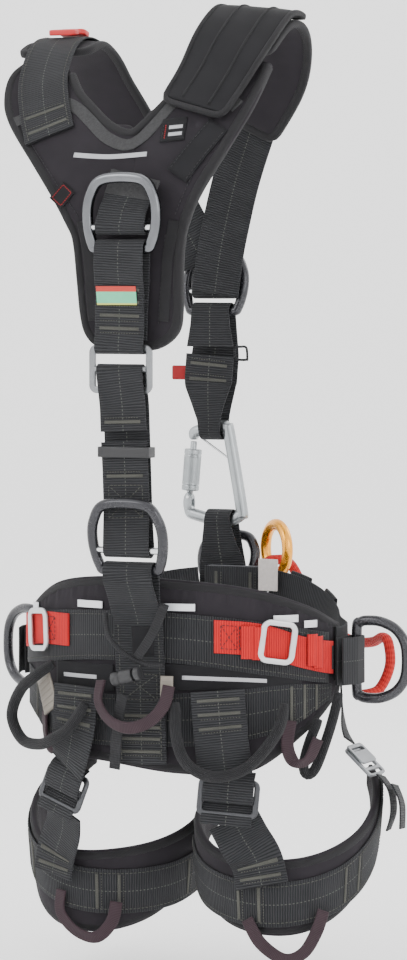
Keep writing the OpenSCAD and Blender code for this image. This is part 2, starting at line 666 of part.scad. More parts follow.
module accessory_loops() {
    color("#4a3a3f") {
        tape([[-23, -124.5, 6, -0.3, -1, 0], [-22, -132, -12, -0.4, -1, -0.2],
            [-8, -138, -27, -0.2, -1, -0.4],
            [11, -140, -32, 0.1, -1, -0.3], [29, -137, -26, 0.3, -1, -0.2], [40, -131, -12, 0.5, -1, 0],
            [42, -125, 4, 0.4, -1, 0]], 8, 3, steps = 2);
        tape([[-96, -89, -28, -0.7, -0.7, 0], [-96, -88, -46, -0.7, -0.7, -0.3],
            [-90, -93, -60, -0.4, -0.8, -0.7],
            [-82, -98, -48, -0.3, -0.9, 0]], 9, 2.4, steps = 2);
        tape([[128, -62, -28, 0.6, -0.8, 0], [127, -66, -50, 0.6, -0.8, -0.3],
            [133, -64, -64, 0.5, -0.6, -0.8],
            [142, -56, -62, 0.6, -0.6, -0.6], [149, -50, -44, 0.8, -0.5, 0]], 9, 2.4, steps = 2);
    }
}

// Moulded slot plates for tool clips
module tool_slots() {
    color("#8d877f") {
        tape([[-92, -99, 4, -0.6, -0.8, 0], [-80, -107, -24, -0.5, -0.85, 0]], 22, 2.2);
        tape([[38, -120.5, 12, 0.3, -1, 0], [38, -121.5, -8, 0.3, -1, 0]], 9, 2.2);
    }
}

// ---------- legs ----------

leg_l = [-68.5, 6];
leg_r = [94, 6];
leg_rx = 70;
leg_ry = 76;

// Point on a thigh at angle a, height z, off outside its pad's inner face; the thigh narrows downwards
function thigh(centre, a, z, off) = let (k = 1 + (z + 160) / 900)
    [centre[0] + (leg_rx * k + off) * cos(a), centre[1] + (leg_ry * k + off) * sin(a), z];

module thigh_panel(centre, angles, low, high, off, thick, columns) {
    function row(i, level) = [for (c = [0:columns])
        thigh(centre, angles[i], mix(low[i], high[i], c / columns), off + level)];
    slab([for (i = [0:len(angles) - 1]) row(i, thick)], [for (i = [0:len(angles) - 1]) row(i, 0)]);
}

leg_count = 28;
right_angles = steps_of(-215, 48, leg_count);
right_top = spread([-108, -112, -126, -144, -150, -148, -134, -110, -82], leg_count);
right_low = spread([-122, -140, -170, -200, -212, -210, -190, -148, -98], leg_count);
left_angles = steps_of(-226, 34, leg_count);
left_top = spread([-70, -96, -120, -144, -152, -150, -142, -126, -100], leg_count);
left_low = spread([-90, -140, -176, -208, -220, -218, -202, -168, -126], leg_count);

module leg_pad_left() {
    color("#322f33") thigh_panel(leg_l, left_angles, left_low, left_top, 0, pad_t, 3);
}

module leg_pad_right() {
    color("#322f33") thigh_panel(leg_r, right_angles, right_low, right_top, 0, pad_t, 3);
}

// Webbing sewn along the middle of each leg pad
module leg_webbing() {
    color("#26272a") {
        a = steps_of(-205, 8, 20);
        mid_l = spread([-112, -140, -166, -182, -186, -182, -170], 20);
        thigh_panel(leg_l, a, [for (z = mid_l) z - 19], [for (z = mid_l) z + 19], pad_t + gap, web_t, 1);
        b = steps_of(-160, 40, 20);
        mid_r = spread([-158, -176, -186, -186, -174, -146, -104], 20);
        thigh_panel(leg_r, b, [for (z = mid_r) z - 19], [for (z = mid_r) z + 19], pad_t + gap, web_t, 1);
    }
}

// Risers: from the belt's lower webbing through an adjuster to the leg webbing, ending in a sewn tail
module risers() {
    color("#26272a") {
        tape([[-51, -117.6, 0, -0.2, -1, 0], [-53, -117.6, -34, -0.2, -1, 0], [-60, -113, -62, -0.3, -1, 0.2],
            [-64, -109, -73, -0.3, -1, 0.3]]);
        tape([[-72, -101, -111, -0.3, -0.95, 0.1], [-77, -91, -130, -0.3, -0.9, 0.1],
            [-87, -85, -152, -0.3, -0.9, 0],
            [-91, -84, -172, -0.3, -0.9, 0]]);
        tape([[80, -108, 0, 0.5, -1, 0], [82, -107.4, -30, 0.5, -1, 0], [84, -104, -60, 0.4, -1, 0.2],
            [85, -102, -74, 0.4, -1, 0.2]]);
        tape([[89, -95, -112, 0.2, -1, 0.1], [96, -88, -130, 0.2, -1, 0.1], [106, -84, -148, 0.2, -1, 0],
            [111, -83, -170, 0.2, -1, 0]]);
    }
}

module riser_adjuster(p, turn, lean, roll) {
    translate(p) rotate([0, 0, turn]) rotate([lean, 0, 0]) upright() rotate([0, 0, roll])
        slider_frame(54, 34, 5, 3, 2.4);
}

module riser_adjuster_left() { color("#3a3b3d") riser_adjuster([-69, -105, -92], -18, -14, -14); }
module riser_adjuster_right() { color("#1f2023") riser_adjuster([86, -99, -93], 15, -8, -4); }

// Short tape loops under each leg pad
module leg_loops() {
    color("#4a3a3f") {
        tape([[-85, -79, -186, -0.3, -1, 0], [-86, -79, -206, -0.3, -1, 0], [-70, -80, -222, -0.1, -1, -0.4],
            [-51, -79, -226, 0.1, -1, -0.4], [-37, -76, -212, 0.4, -1, 0],
            [-33, -75, -194, 0.5, -1, 0]], 9, 2.4, steps = 2);
        tape([[95, -80, -200, 0, -1, 0], [108, -80, -220, 0.2, -1, 0], [128, -76, -233, 0.4, -1, -0.4],
            [143, -68, -228, 0.6, -1, -0.4], [152, -60, -210, 0.7, -0.8, 0],
            [156, -54, -192, 0.8, -0.7, 0]], 9, 2.4, steps = 2);
    }
}

// Hip tapes of the leg loops; the right one ends at the quick buckle's tongue
module leg_links() {
    color("#26272a") {
        tape([[-138, 44, 4, -1, 0.3, 0], [-146, 48, -20, -1, 0.3, 0], [-150, 52, -44, -1, 0.3, 0],
            [-146, 56, -60, -1, 0.3, 0]], 25);
        tape([[124, 58, -4, 0.9, 0.4, 0], [127, 54, -26, 0.9, 0.4, 0.1], [132, 48, -45, 0.8, 0.3, 0.4],
            [139, 43, -56, 0.75, 0.2, 0.6]], 22);
    }
}

// Tape from the right leg pad up to the quick buckle's frame, with its folded tail
module leg_tail_right() {
    color("#26272a") {
        tape([[170, 40, -85, 0.7, 0.2, 0.65], [181, 38, -98, 0.9, 0.2, 0.3], [184, 36, -116, 1, 0.2, 0],
            [180, 34, -132, 0.9, 0.2, -0.3]], 24);
        tape([[184, 38, -92, 0.8, 0.2, 0.5], [192, 36, -108, 1, 0.2, 0], [193, 34, -130, 1, 0.2, 0]], 22);
    }
}

buckle_at = [155, 40, -73];

module on_buckle() { translate(buckle_at) rotate([0, 42, 0]) children(); }

// Steel quick buckle of the right leg: outer frame on the pad's side
module leg_buckle_frame() {
    color("#a7abaf") on_buckle() difference() {
        linear_extrude(2.6, center = true) rounded(34, 36, 5);
        translate([-2, 0, 0]) linear_extrude(6, center = true) rounded(19, 27, 2);
        translate([12.5, 0, 0]) linear_extrude(6, center = true) rounded(4, 27, 1);
    }
}

// Its inner tongue, which lies over the frame and swings free to release the leg
module leg_buckle_tongue() {
    color("#8d9195") on_buckle() translate([-7, 0, 2.7]) difference() {
        linear_extrude(2, center = true) rounded(22, 32, 4);
        translate([-5, 0, 0]) linear_extrude(4, center = true) rounded(4, 25, 1);
    }
}

belt_pad();
belt_webbing();
lower_webbing();
belt_flap();
reflective_tabs();
front_belt();
front_tab();
front_buckle();
back_yoke();
yoke_pocket();
shoulder_strap_left();
shoulder_strap_right();
shoulder_pads();
shoulder_cover();
shoulder_adjuster();
dorsal_ring();
dorsal_hanger();
dorsal_strap();
fall_indicator();
dorsal_adjuster();
spine_strap();
spine_keeper();
back_ring();
lumbar_strap();
sternal_ring();
chest_strap();
chest_tags();
connector_body();
connector_gate();
connector_sleeve();
gate_pin();
captive_bar();
ventral_ring();
ventral_strap();
bridge_rope();
bridge_ring();
side_ring_right();
side_ring_left();
side_lugs();
side_straps();
side_buckle_right();
side_buckle_left();
cord_tape();
cord_lock_barrel();
cord_lock_button();
cord_lock_spring();
gear_loops();
accessory_loops();
tool_slots();
risers();
riser_adjuster_left();
riser_adjuster_right();
leg_pad_left();
leg_pad_right();
leg_webbing();
leg_loops();
leg_links();
leg_tail_right();
leg_buckle_frame();
leg_buckle_tongue();
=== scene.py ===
# Looks of a tree climbing saddle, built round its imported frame.
# Tables are in millimetres, +Y is the way the wearer faces, and makePiece turns millimetres into metres.
import math

import bpy
import bmesh
import numpy as np
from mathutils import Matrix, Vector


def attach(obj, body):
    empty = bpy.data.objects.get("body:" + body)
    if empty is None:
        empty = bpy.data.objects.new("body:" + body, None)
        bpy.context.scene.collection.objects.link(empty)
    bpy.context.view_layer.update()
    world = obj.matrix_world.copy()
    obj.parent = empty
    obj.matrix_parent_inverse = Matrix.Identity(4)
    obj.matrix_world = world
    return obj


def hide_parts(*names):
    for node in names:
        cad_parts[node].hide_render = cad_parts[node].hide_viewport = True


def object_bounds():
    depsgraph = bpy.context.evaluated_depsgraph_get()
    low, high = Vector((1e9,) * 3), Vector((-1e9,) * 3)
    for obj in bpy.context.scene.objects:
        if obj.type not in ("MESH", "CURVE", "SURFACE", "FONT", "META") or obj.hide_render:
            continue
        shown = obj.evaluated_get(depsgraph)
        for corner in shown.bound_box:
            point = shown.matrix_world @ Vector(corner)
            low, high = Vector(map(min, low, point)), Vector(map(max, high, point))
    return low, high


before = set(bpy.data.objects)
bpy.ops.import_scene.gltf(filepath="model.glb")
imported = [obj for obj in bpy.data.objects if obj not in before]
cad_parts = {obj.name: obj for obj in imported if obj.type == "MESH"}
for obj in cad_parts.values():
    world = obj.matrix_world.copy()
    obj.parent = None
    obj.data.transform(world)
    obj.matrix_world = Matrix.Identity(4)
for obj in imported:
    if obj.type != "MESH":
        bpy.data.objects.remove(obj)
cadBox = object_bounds()
mm = 0.001
up = np.array([0.0, 0.0, 1.0])


# ---------- curves and grids ----------

# Vectors scaled to length 1
def unit(v):
    return v / np.maximum(np.linalg.norm(v, axis=-1, keepdims=True), 1e-9)


# Catmull-Rom curve: each stretch is the usual cubic through its two rows, steered by the rows beside them
def cubic(a, b, c, d, t):
    return 0.5 * (2 * b + (c - a) * t + (2 * a - 5 * b + 4 * c - d) * t ** 2 + (3 * b - a - 3 * c + d) * t ** 3)


# Curve with k rows to each stretch; an open one starts and ends by repeating its outer rows
def smooth(rows, k, closed=False):
    p = np.asarray(rows, float)
    p = np.vstack([p[-1:], p, p[:2]]) if closed else np.vstack([p[:1], p, p[-1:]])
    t = (np.arange(k) / k)[None, :, None]
    bent = cubic(p[:-3, None], p[1:-2, None], p[2:-1, None], p[3:, None], t).reshape(-1, p.shape[1])
    return bent if closed else np.vstack([bent, p[-1:]])


# Smooth list of n numbers through a few driving heights
def spread(heights, n):
    p = np.array([heights[0], *heights, heights[-1]], float)
    t = np.linspace(0, len(heights) - 1, n)
    j = np.minimum(t.astype(int), len(heights) - 2)
    return cubic(p[j], p[j + 1], p[j + 2], p[j + 3], t - j)


# Length run along a line of points up to each of them
def runOf(points, closed=False):
    p = np.vstack([points, points[:1]]) if closed else points
    return np.concatenate([[0.0], np.cumsum(np.linalg.norm(np.diff(p[:, :3], axis=0), axis=1))])


# The same curve with its rows an even distance apart
def even(rows, step, closed=False):
    rows = np.asarray(rows, float)
    run = runOf(rows, closed)
    full = np.vstack([rows, rows[:1]]) if closed else rows
    n = max(4, int(round(run[-1] / step)))
    at = np.linspace(0, run[-1], n + 1)
    at = at[:-1] if closed else at
    return np.stack([np.interp(at, run, full[:, c]) for c in range(rows.shape[1])], 1)


# Grid of points as a mesh part: u runs over the columns and v over the rows, one longer where a side wraps round
def gridPart(points, u=None, v=None, wrapRows=False, wrapColumns=False, capped=False):
    m, n = points.shape[:2]
    u = np.arange(n + 1.0) if u is None else np.asarray(u, float)
    v = np.arange(m + 1.0) if v is None else np.asarray(v, float)
    i, j = np.meshgrid(np.arange(m if wrapRows else m - 1), np.arange(n if wrapColumns else n - 1), indexing="ij")
    corners = ((0, 0), (0, 1), (1, 1), (1, 0))
    faces = np.stack([((i + a) % m) * n + (j + b) % n for a, b in corners], -1).reshape(-1, 4).tolist()
    uv = np.stack([np.stack([u[j + b], v[i + a]], -1) for a, b in corners], 2).reshape(-1, 2)
    co = points.reshape(-1, 3)
    if capped:
        j = np.arange(n if wrapColumns else n - 1)
        for row, centre in ((0, m * n), (m - 1, m * n + 1)):
            a, b = row * n + j, row * n + (j + 1) % n
            faces += np.stack([a, b, np.full_like(j, centre)], -1).tolist()
            fan = np.stack([u[j], np.full(len(j), v[row]), u[j + 1], np.full(len(j), v[row]),
                            (u[j] + u[j + 1]) / 2, np.full(len(j), v[row])], -1)
            uv = np.vstack([uv, fan.reshape(-1, 2)])
        co = np.vstack([co, points[0].mean(0), points[-1].mean(0)])
    return co, faces, uv


# Frames carried along a path: each normal is the last one's, turned as little as the bend allows
def carriedFrames(path, first=None, closed=False):
    if closed:
        along = unit(np.roll(path, -1, 0) - np.roll(path, 1, 0))
    else:
        along = unit(np.gradient(path, axis=0))
    normal = np.empty_like(path)
    n = np.array(first if first is not None else ((1.0, 0, 0) if abs(along[0][2]) > 0.8 else (0, 0, 1.0)), float)
    for i, t in enumerate(along):
        n = unit(n - t * (n @ t))
        normal[i] = n
    return along, normal, np.cross(along, normal)


# Profile carried along a path: each point is the path's, plus x times the normal and y times the side
def swept(path, profile, closed=False, first=None, scale=None, flat=None):
    path = np.asarray(path, float)
    along, normal, side = carriedFrames(path, first, closed)
    if flat is not None:
        side = np.tile(np.asarray(flat, float), (len(path), 1))
        normal = np.cross(side, along)
    scale = np.ones(len(path)) if scale is None else np.asarray(scale)
    x, y = profile[:, 0][None, :, None], profile[:, 1][None, :, None]
    points = path[:, None] + scale[:, None, None] * (x * normal[:, None] + y * side[:, None])
    ring = runOf(profile, True)
    return gridPart(points, ring, runOf(path, closed), wrapRows=closed, wrapColumns=True, capped=not closed)


# Rounded section: a circle squared off by its power
def section(width, height=None, sides=20, power=2.0):
    t = np.arange(sides) * 2 * math.pi / sides
    c, s = np.cos(t), np.sin(t)
    r = (np.abs(c) ** power + np.abs(s) ** power) ** (-1 / power)
    return np.stack([width / 2 * r * c, (height or width) / 2 * r * s], 1)


# Rows of [distance, radius] turned round the line from start towards end; a hollow one closes on its own first row
def turned(start, end, rows, sides=28, hollow=False):
    start, end = np.asarray(start, float), np.asarray(end, float)
    axis = unit(end - start)
    n = unit(np.cross(axis, up if abs(axis[2]) < 0.9 else np.array([1.0, 0, 0])))
    t = np.arange(sides) * 2 * math.pi / sides
    rays = np.cos(t)[:, None] * n + np.sin(t)[:, None] * np.cross(axis, n)
    rows = np.asarray(rows, float)
    points = start + rows[:, 0][:, None, None] * axis + rows[:, 1][:, None, None] * rays
    return gridPart(points, np.arange(sides + 1) * rows[:, 1].max() * 2 * math.pi / sides,
                    np.r_[rows[:, 0], rows[:1, 0]], wrapRows=hollow, wrapColumns=True, capped=not hollow)


# Rows of a round bar whose two rims are eased by edge mm
def bevelled(length, radius, edge=0.6):
    return [[0, radius - edge], [edge * 0.3, radius - edge * 0.3], [edge, radius],
            [length - edge, radius], [length - edge * 0.3, radius - edge * 0.3], [length, radius - edge]]


# Local points of a flat shape carried to their place: origin, then the directions of x, y and z
def placed(part, seat):
    co, faces, uv = part
    origin, ex, ey, ez = (np.asarray(q, float) for q in seat)
    return origin + co[:, :1] * ex + co[:, 1:2] * ey + co[:, 2:3] * ez, faces, uv


# ---------- pieces ----------

# Smooth-shaded object from one mesh part in metres
def meshObject(name, co, faces, uv, finish):
    mesh = bpy.data.meshes.new(name)
    mesh.from_pydata(co.tolist(), [], faces)
    mesh.uv_layers.new(name="UVMap").data.foreach_set("uv", uv.astype(np.float32).ravel())
    mesh.polygons.foreach_set("use_smooth", np.full(len(mesh.polygons), True))
    mesh.materials.append(finish)
    thing = bpy.data.objects.new(name, mesh)
    bpy.context.scene.collection.objects.link(thing)
    return thing


# Every face turned outward
def pointOut(mesh):
    work = bmesh.new()
    work.from_mesh(mesh)
    bmesh.ops.recalc_face_normals(work, faces=work.faces)
    work.to_mesh(mesh)
    work.free()


# Piece of one or more parts in millimetres, hung on its body; where it stands for a CAD node, that node is hidden
def makePiece(name, parts, finish, body="harness", node=None):
    parts = parts if isinstance(parts, list) else [parts]
    faces, base = [], 0
    for co, own, _ in parts:
        faces += [[i + base for i in face] for face in own]
        base += len(co)
    co, uv = (np.vstack([part[k] for part in parts]) for k in (0, 2))
    piece = meshObject(name, co * mm, faces, uv, finishes[finish])
    pointOut(piece.data)
    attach(piece, body)
    if node:
        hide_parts(node)
    return piece


# ---------- shader maths ----------

# One node socket, with the usual operators making Math nodes
class Val:
    def __init__(self, tree, out):
        self.tree, self.out = tree, out

    def node(self, kind, inputs=(), give=0, **settings):
        made = self.tree.nodes.new(kind)
        for key, value in settings.items():
            setattr(made, key, value)
        for key, value in (inputs.items() if isinstance(inputs, dict) else enumerate(inputs)):
            if isinstance(value, Val):
                self.tree.links.new(value.out, made.inputs[key])
            elif value is not None:
                made.inputs[key].default_value = value
        return Val(self.tree, made.outputs[give])

    def math(self, operation, other=None):
        return self.node("ShaderNodeMath", [self, other], operation=operation)

    def __add__(self, other): return self.math("ADD", other)
    def __mul__(self, other): return self.math("MULTIPLY", other)
    def __sub__(self, other): return self.math("SUBTRACT", other)
    __radd__ = __add__
    __rmul__ = __mul__

    def sin(self): return self.math("SINE")
    def abs(self): return self.math("ABSOLUTE")
    def over(self, edge): return self.math("GREATER_THAN", edge)
    def under(self, edge): return self.math("LESS_THAN", edge)
    def wave(self, pitch): return (self * (2 * math.pi / pitch)).sin() * 0.5 + 0.5

    def mix(self, a, b):
        return self.node("ShaderNodeMix", {0: self, 6: a, 7: b}, 2, data_type="RGBA")


def rgb(r, g, b):
    return (r, g, b, 1.0)


# A finish: look gives base colour, roughness and height from u and v in millimetres and the object's own point
def makeFinish(name, look, bump=0.4, depth=0.3, **fixed):
    finish = bpy.data.materials.new(name)
    finish.use_nodes = True
    tree = finish.node_tree
    tree.nodes.clear()
    start = Val(tree, None)
    u = start.node("ShaderNodeSeparateXYZ", [start.node("ShaderNodeUVMap", uv_map="UVMap")])
    v = Val(tree, u.out.node.outputs[1])
    place = start.node("ShaderNodeTexCoord", give=3)

    def noise(scale, detail=3.0):
        return place.node("ShaderNodeTexNoise", {"Vector": place, "Scale": scale, "Detail": detail})

    colour, rough, height = look(u, v, noise)
    shade = start.node("ShaderNodeBsdfPrincipled", {"Base Color": colour, "Roughness": rough})
    if "Metallic" not in fixed and "plastic" not in name:
        fixed["Specular_IOR_Level"] = 0.16
    for key, value in fixed.items():
        shade.out.node.inputs[key.replace("_", " ")].default_value = value
    if height is not None:
        rise = start.node("ShaderNodeBump", {"Strength": bump, "Distance": depth * mm, "Height": height})
        tree.links.new(rise.out, shade.out.node.inputs["Normal"])
    end = tree.nodes.new("ShaderNodeOutputMaterial")
    tree.links.new(shade.out, end.inputs["Surface"])
    return finish


# Webbing: ribs across every pitch mm, a fine lengthwise yarn, and a dotted pale thread down the middle; the rib crests
# are painted lighter, partly the weave's own tone and partly a painted highlight
def webbingLook(dark, light, thread=None, pitch=2.2):
    def look(u, v, noise):
        rib = (v * (math.pi / pitch)).sin().abs()
        yarn = u.wave(0.9)
        worn = noise(55.0)
        # Painted highlight: the rib crests are painted lighter, standing in for light catching the raised ribs as well
        # as the weave's tone, with random tone from the noise
        colour = (rib * 0.8 + worn * 0.5 - 0.2).mix(dark, light)
        if thread:
            dots = u.abs().under(0.4) * v.wave(3.4).over(0.5)
            colour = (dots * 0.6).mix(colour, thread)
        return colour, worn * 0.2 + 0.62, rib * 0.75 + yarn * 0.25
    return look


# Plain weave with slow colour drift
def clothLook(dark, light, pitch=0.8, rough=0.85):
    def look(u, v, noise):
        weave = u.wave(pitch) * v.wave(pitch)
        slow, fine = noise(30.0), noise(900.0, 2.0)
        colour = (slow * 0.9 + weave * 0.25 - 0.12).mix(dark, light)
        return colour, slow * 0.1 + (rough - 0.05), weave * 0.5 + fine
    return look


# Twill: fine ridges on the slant
def twillLook(dark, light):
    def look(u, v, noise):
        ridge = (u + v).wave(1.3)
        slow = noise(60.0)
        return (ridge * 0.5 + slow * 0.4).mix(dark, light), slow * 0.1 + 0.72, ridge
    return look


# Fuzzy brushed lining
def fuzzLook(dark, light):
    def look(u, v, noise):
        tuft, fine = noise(420.0, 6.0), noise(1700.0, 2.0)
        return (tuft * 0.7 + fine * 0.4 - 0.05).mix(dark, light), fine * 0.05 + 0.92, tuft + fine
    return look


# Metal: cloudy polish with faint scuffs
def metalLook(dark, light, rough, patchy=0.12, grain=0.35):
    def look(u, v, noise):
        cloud, scuff = noise(35.0), noise(520.0, 5.0)
        uneven = cloud * patchy + scuff * (patchy * 0.6) + (rough - patchy * 0.8)
        return cloud.mix(dark, light), uneven, scuff * grain
    return look


# Braid: two families of yarns crossing on the slant; around is the cord's girth and count the yarns each way
def braidLook(dark, light, around, count, lay):
    def look(u, v, noise):
        a = (u * (2 * math.pi * count / around) + v * (2 * math.pi / lay)).sin()
        b = (u * (2 * math.pi * count / around) - v * (2 * math.pi / lay)).sin()
        yarn = (a * b) * 0.5 + 0.5
        fine, slow = noise(1500.0, 2.0), noise(80.0)
        return (yarn * 0.6 + slow * 0.5 - 0.05).mix(dark, light), slow * 0.12 + 0.6, yarn + fine * 0.25
    return look


# Sleeve: ribs that run lengthwise, crossed by a fine weave
def ribLook(dark, light, around, count):
    def look(u, v, noise):
        rib = (u * (2 * math.pi * count / around)).sin() * 0.5 + 0.5
        slow = noise(70.0)
        return (rib * 0.5 + slow * 0.5).mix(dark, light), slow * 0.1 + 0.7, rib + v.wave(1.6) * 0.35
    return look


# Moulded plastic: fine sparked texture
def plasticLook(dark, light, rough):
    def look(u, v, noise):
        slow, fine = noise(25.0), noise(1200.0, 2.0)
        return slow.mix(dark, light), slow * 0.1 + rough, fine
    return look


# Label: green cloth with a red upper band and a line of thread
def labelLook(u, v, noise):
    weave, slow = noise(900.0, 2.0), noise(60.0)
    ground = slow.mix(rgb(0.10, 0.42, 0.25), rgb(0.17, 0.55, 0.34))
    top = v.over(11.5).mix(ground, rgb(0.45, 0.05, 0.04))
    return (v.under(1.6) * 0.9).mix(top, rgb(0.50, 0.47, 0.10)), slow * 0.1 + 0.6, weave


# Reflective tape: a fine honeycomb that stays bright
def reflectLook(u, v, noise):
    cell = u.wave(1.4) * v.wave(1.4)
    slow = noise(45.0)
    return (cell * 0.4 + slow * 0.4).mix(rgb(0.60, 0.61, 0.64), rgb(0.92, 0.93, 0.95)), slow * 0.15 + 0.3, cell


# Each finish: its look, then the bump's strength and depth in mm, then its fixed values
clothSheen = {"Sheen_Weight": 0.04}
finishTable = {
    "webbing": (webbingLook(rgb(0.0035, 0.0035, 0.0045), rgb(0.034, 0.035, 0.038), rgb(0.13, 0.135, 0.12)),
                0.9, 0.8, clothSheen),
    "red_webbing": (webbingLook(rgb(0.27, 0.006, 0.008), rgb(0.58, 0.018, 0.018)), 0.8, 0.6, clothSheen),
    "pad_cloth": (clothLook(rgb(0.0095, 0.0085, 0.0105), rgb(0.028, 0.024, 0.029)),
                  0.5, 0.25, {"Sheen_Weight": 0.04, "Sheen_Roughness": 0.5}),
    "binding": (twillLook(rgb(0.007, 0.007, 0.008), rgb(0.029, 0.028, 0.030)), 0.7, 0.4, clothSheen),
    "flap_cloth": (clothLook(rgb(0.005, 0.005, 0.006), rgb(0.016, 0.0155, 0.0175), 0.6, 0.75),
                   0.3, 0.2, clothSheen),
    "wrinkle_cloth": (clothLook(rgb(0.030, 0.025, 0.034), rgb(0.085, 0.072, 0.090), 0.7), 0.5, 0.3, clothSheen),
    "fuzz": (fuzzLook(rgb(0.022, 0.022, 0.023), rgb(0.068, 0.068, 0.070)), 0.9, 0.7, clothSheen),
    "grey_liner": (fuzzLook(rgb(0.42, 0.38, 0.36), rgb(0.66, 0.62, 0.60)), 0.4, 0.3, clothSheen),
    "print": (clothLook(rgb(0.33, 0.33, 0.35), rgb(0.48, 0.48, 0.50), 0.6, 0.6), 0.3, 0.1, {}),
    "thread": (clothLook(rgb(0.040, 0.040, 0.036), rgb(0.105, 0.105, 0.092), 0.5, 0.6), 0.4, 0.1, {}),
    "black_thread": (clothLook(rgb(0.012, 0.012, 0.013), rgb(0.05, 0.05, 0.052), 0.5, 0.5), 0.4, 0.1, {}),
    "reflective": (reflectLook, 0.25, 0.1, {"Metallic": 0.35}),
    "green_label": (labelLook, 0.3, 0.15, {}),
    "red_label": (clothLook(rgb(0.20, 0.012, 0.014), rgb(0.34, 0.022, 0.024), 0.6, 0.6), 0.3, 0.1, {}),
    "polished": (metalLook(rgb(0.10, 0.105, 0.115), rgb(0.22, 0.225, 0.235), 0.24), 0.25, 0.1, {"Metallic": 1.0}),
    "black_alloy": (metalLook(rgb(0.014, 0.014, 0.017), rgb(0.036, 0.036, 0.042), 0.27),
                    0.25, 0.1, {"Metallic": 0.55, "Coat_Weight": 0.35, "Coat_Roughness": 0.15}),
    "dark_alloy": (metalLook(rgb(0.045, 0.046, 0.050), rgb(0.085, 0.087, 0.093), 0.36),
                   0.3, 0.1, {"Metallic": 0.8}),
    "satin_grey": (metalLook(rgb(0.17, 0.175, 0.185), rgb(0.29, 0.30, 0.31), 0.36), 0.4, 0.15, {"Metallic": 0.9}),
    "bright_steel": (metalLook(rgb(0.60, 0.61, 0.62), rgb(0.80, 0.81, 0.82), 0.25), 0.3, 0.1, {"Metallic": 1.0}),
    "zinc_steel": (metalLook(rgb(0.25, 0.27, 0.28), rgb(0.44, 0.46, 0.47), 0.34, 0.16),
                   0.45, 0.2, {"Metallic": 1.0}),
    "bright_alloy": (metalLook(rgb(0.50, 0.51, 0.52), rgb(0.68, 0.69, 0.70), 0.38), 0.35, 0.1, {"Metallic": 0.85}),
    "orange_alloy": (metalLook(rgb(0.78, 0.30, 0.015), rgb(0.95, 0.43, 0.03), 0.27, 0.1, 0.2),
                     0.25, 0.1, {"Metallic": 0.8, "Coat_Weight": 0.4, "Coat_Roughness": 0.12}),
    "red_rope": (braidLook(rgb(0.22, 0.004, 0.005), rgb(0.66, 0.032, 0.024), 28.9, 8, 8.6), 0.9, 0.8, clothSheen),
    "elastic": (braidLook(rgb(0.006, 0.006, 0.007), rgb(0.030, 0.030, 0.032), 13.8, 5, 4.2), 0.7, 0.4, {}),
    "loop_sleeve": (ribLook(rgb(0.005, 0.005, 0.006), rgb(0.026, 0.026, 0.028), 31.4, 22), 0.85, 0.6, clothSheen),
    "brown_tape": (webbingLook(rgb(0.016, 0.009, 0.012), rgb(0.046, 0.029, 0.035), None, 1.4),
                   0.6, 0.3, clothSheen),
    "red_plastic": (plasticLook(rgb(0.46, 0.010, 0.012), rgb(0.62, 0.018, 0.018), 0.38), 0.25, 0.1, {}),
    "dark_plastic": (plasticLook(rgb(0.007, 0.007, 0.008), rgb(0.020, 0.020, 0.022), 0.42), 0.3, 0.12, {}),
    "beige_plastic": (plasticLook(rgb(0.13, 0.115, 0.095), rgb(0.25, 0.225, 0.19), 0.5), 0.3, 0.12, {}),
}
finishes = {name: makeFinish(name, look, bump, depth, **fixed)
            for name, (look, bump, depth, fixed) in finishTable.items()}
print("finishes made")


# ---------- camera, light and floor ----------

target = np.array([13.5, 6.3, 173.8]) * mm
azimuth, elevation, away = math.radians(25), math.radians(3), 3.6
toCamera = np.array([math.sin(azimuth) * math.cos(elevation), -math.cos(azimuth) * math.cos(elevation),
                     math.sin(elevation)])


# Camera or lamp at one point, looking towards another, with its top upward
def aimed(thing, at, towards):
    thing.location = tuple(at)
    view = unit(np.asarray(towards) - np.asarray(at))
    side = unit(np.cross(view, up))
    lift = np.cross(side, view)
    matrix = np.eye(4)
    matrix[:3, 0], matrix[:3, 1], matrix[:3, 2], matrix[:3, 3] = side, lift, -view, at
    thing.matrix_world = matrix.T.tolist()
    return thing


def makeCamera():
    data = bpy.data.cameras.new("camera")
    data.sensor_width = 36
    data.lens = 152.3
    camera = bpy.data.objects.new("camera", data)
    bpy.context.scene.collection.objects.link(camera)
    aimed(camera, target + toCamera * away, target)
    bpy.context.scene.camera = camera


# Round soft lamp, size metres across, aimed at the middle of the harness
def makeLight(name, at, size, power):
    data = bpy.data.lights.new(name, "AREA")
    data.shape = "DISK"
    data.size = size
    data.energy = power
    lamp = bpy.data.objects.new(name, data)
    bpy.context.scene.collection.objects.link(lamp)
    aimed(lamp, at, (0, 0, 0.15))


# A flat round floor that curves up into a wall, so that every direction shows the same pale ground
def makeFloor():
    z = cadBox[0][2] - 0.02
    plain = makeFinish("floor", plasticLook(rgb(0.94, 0.94, 0.94), rgb(0.96, 0.96, 0.96), 0.9), 0.05, 0.05,
                       Emission_Color=(1, 1, 1, 1), Emission_Strength=0.3)
    bend, wall, top, sides = 4, 15, 9, 64
    rise = np.linspace(0, np.pi / 2, 9)
    radius = np.r_[0.5, 2, 4, 8, wall - bend + bend * np.sin(rise), wall]
    height = np.r_[0, 0, 0, 0, bend - bend * np.cos(rise), top]
    around = np.arange(sides) * 2 * np.pi / sides
    grid = np.stack([radius[:, None] * np.cos(around), radius[:, None] * np.sin(around),
                     np.repeat(z + height[:, None], sides, 1)], -1)
    grid = np.concatenate([[0, 0, z] + 0.01 * (grid[:1] - [0, 0, z]), grid])
    meshObject("floor", *gridPart(grid, wrapColumns=True), plain)


def makeWorld():
    world = bpy.data.worlds.new("soft_room")
    bpy.context.scene.world = world
    world.use_nodes = True
    ground = world.node_tree.nodes["Background"]
    ground.inputs["Color"].default_value = (1.0, 1.0, 1.0, 1)
    ground.inputs["Strength"].default_value = 1.75


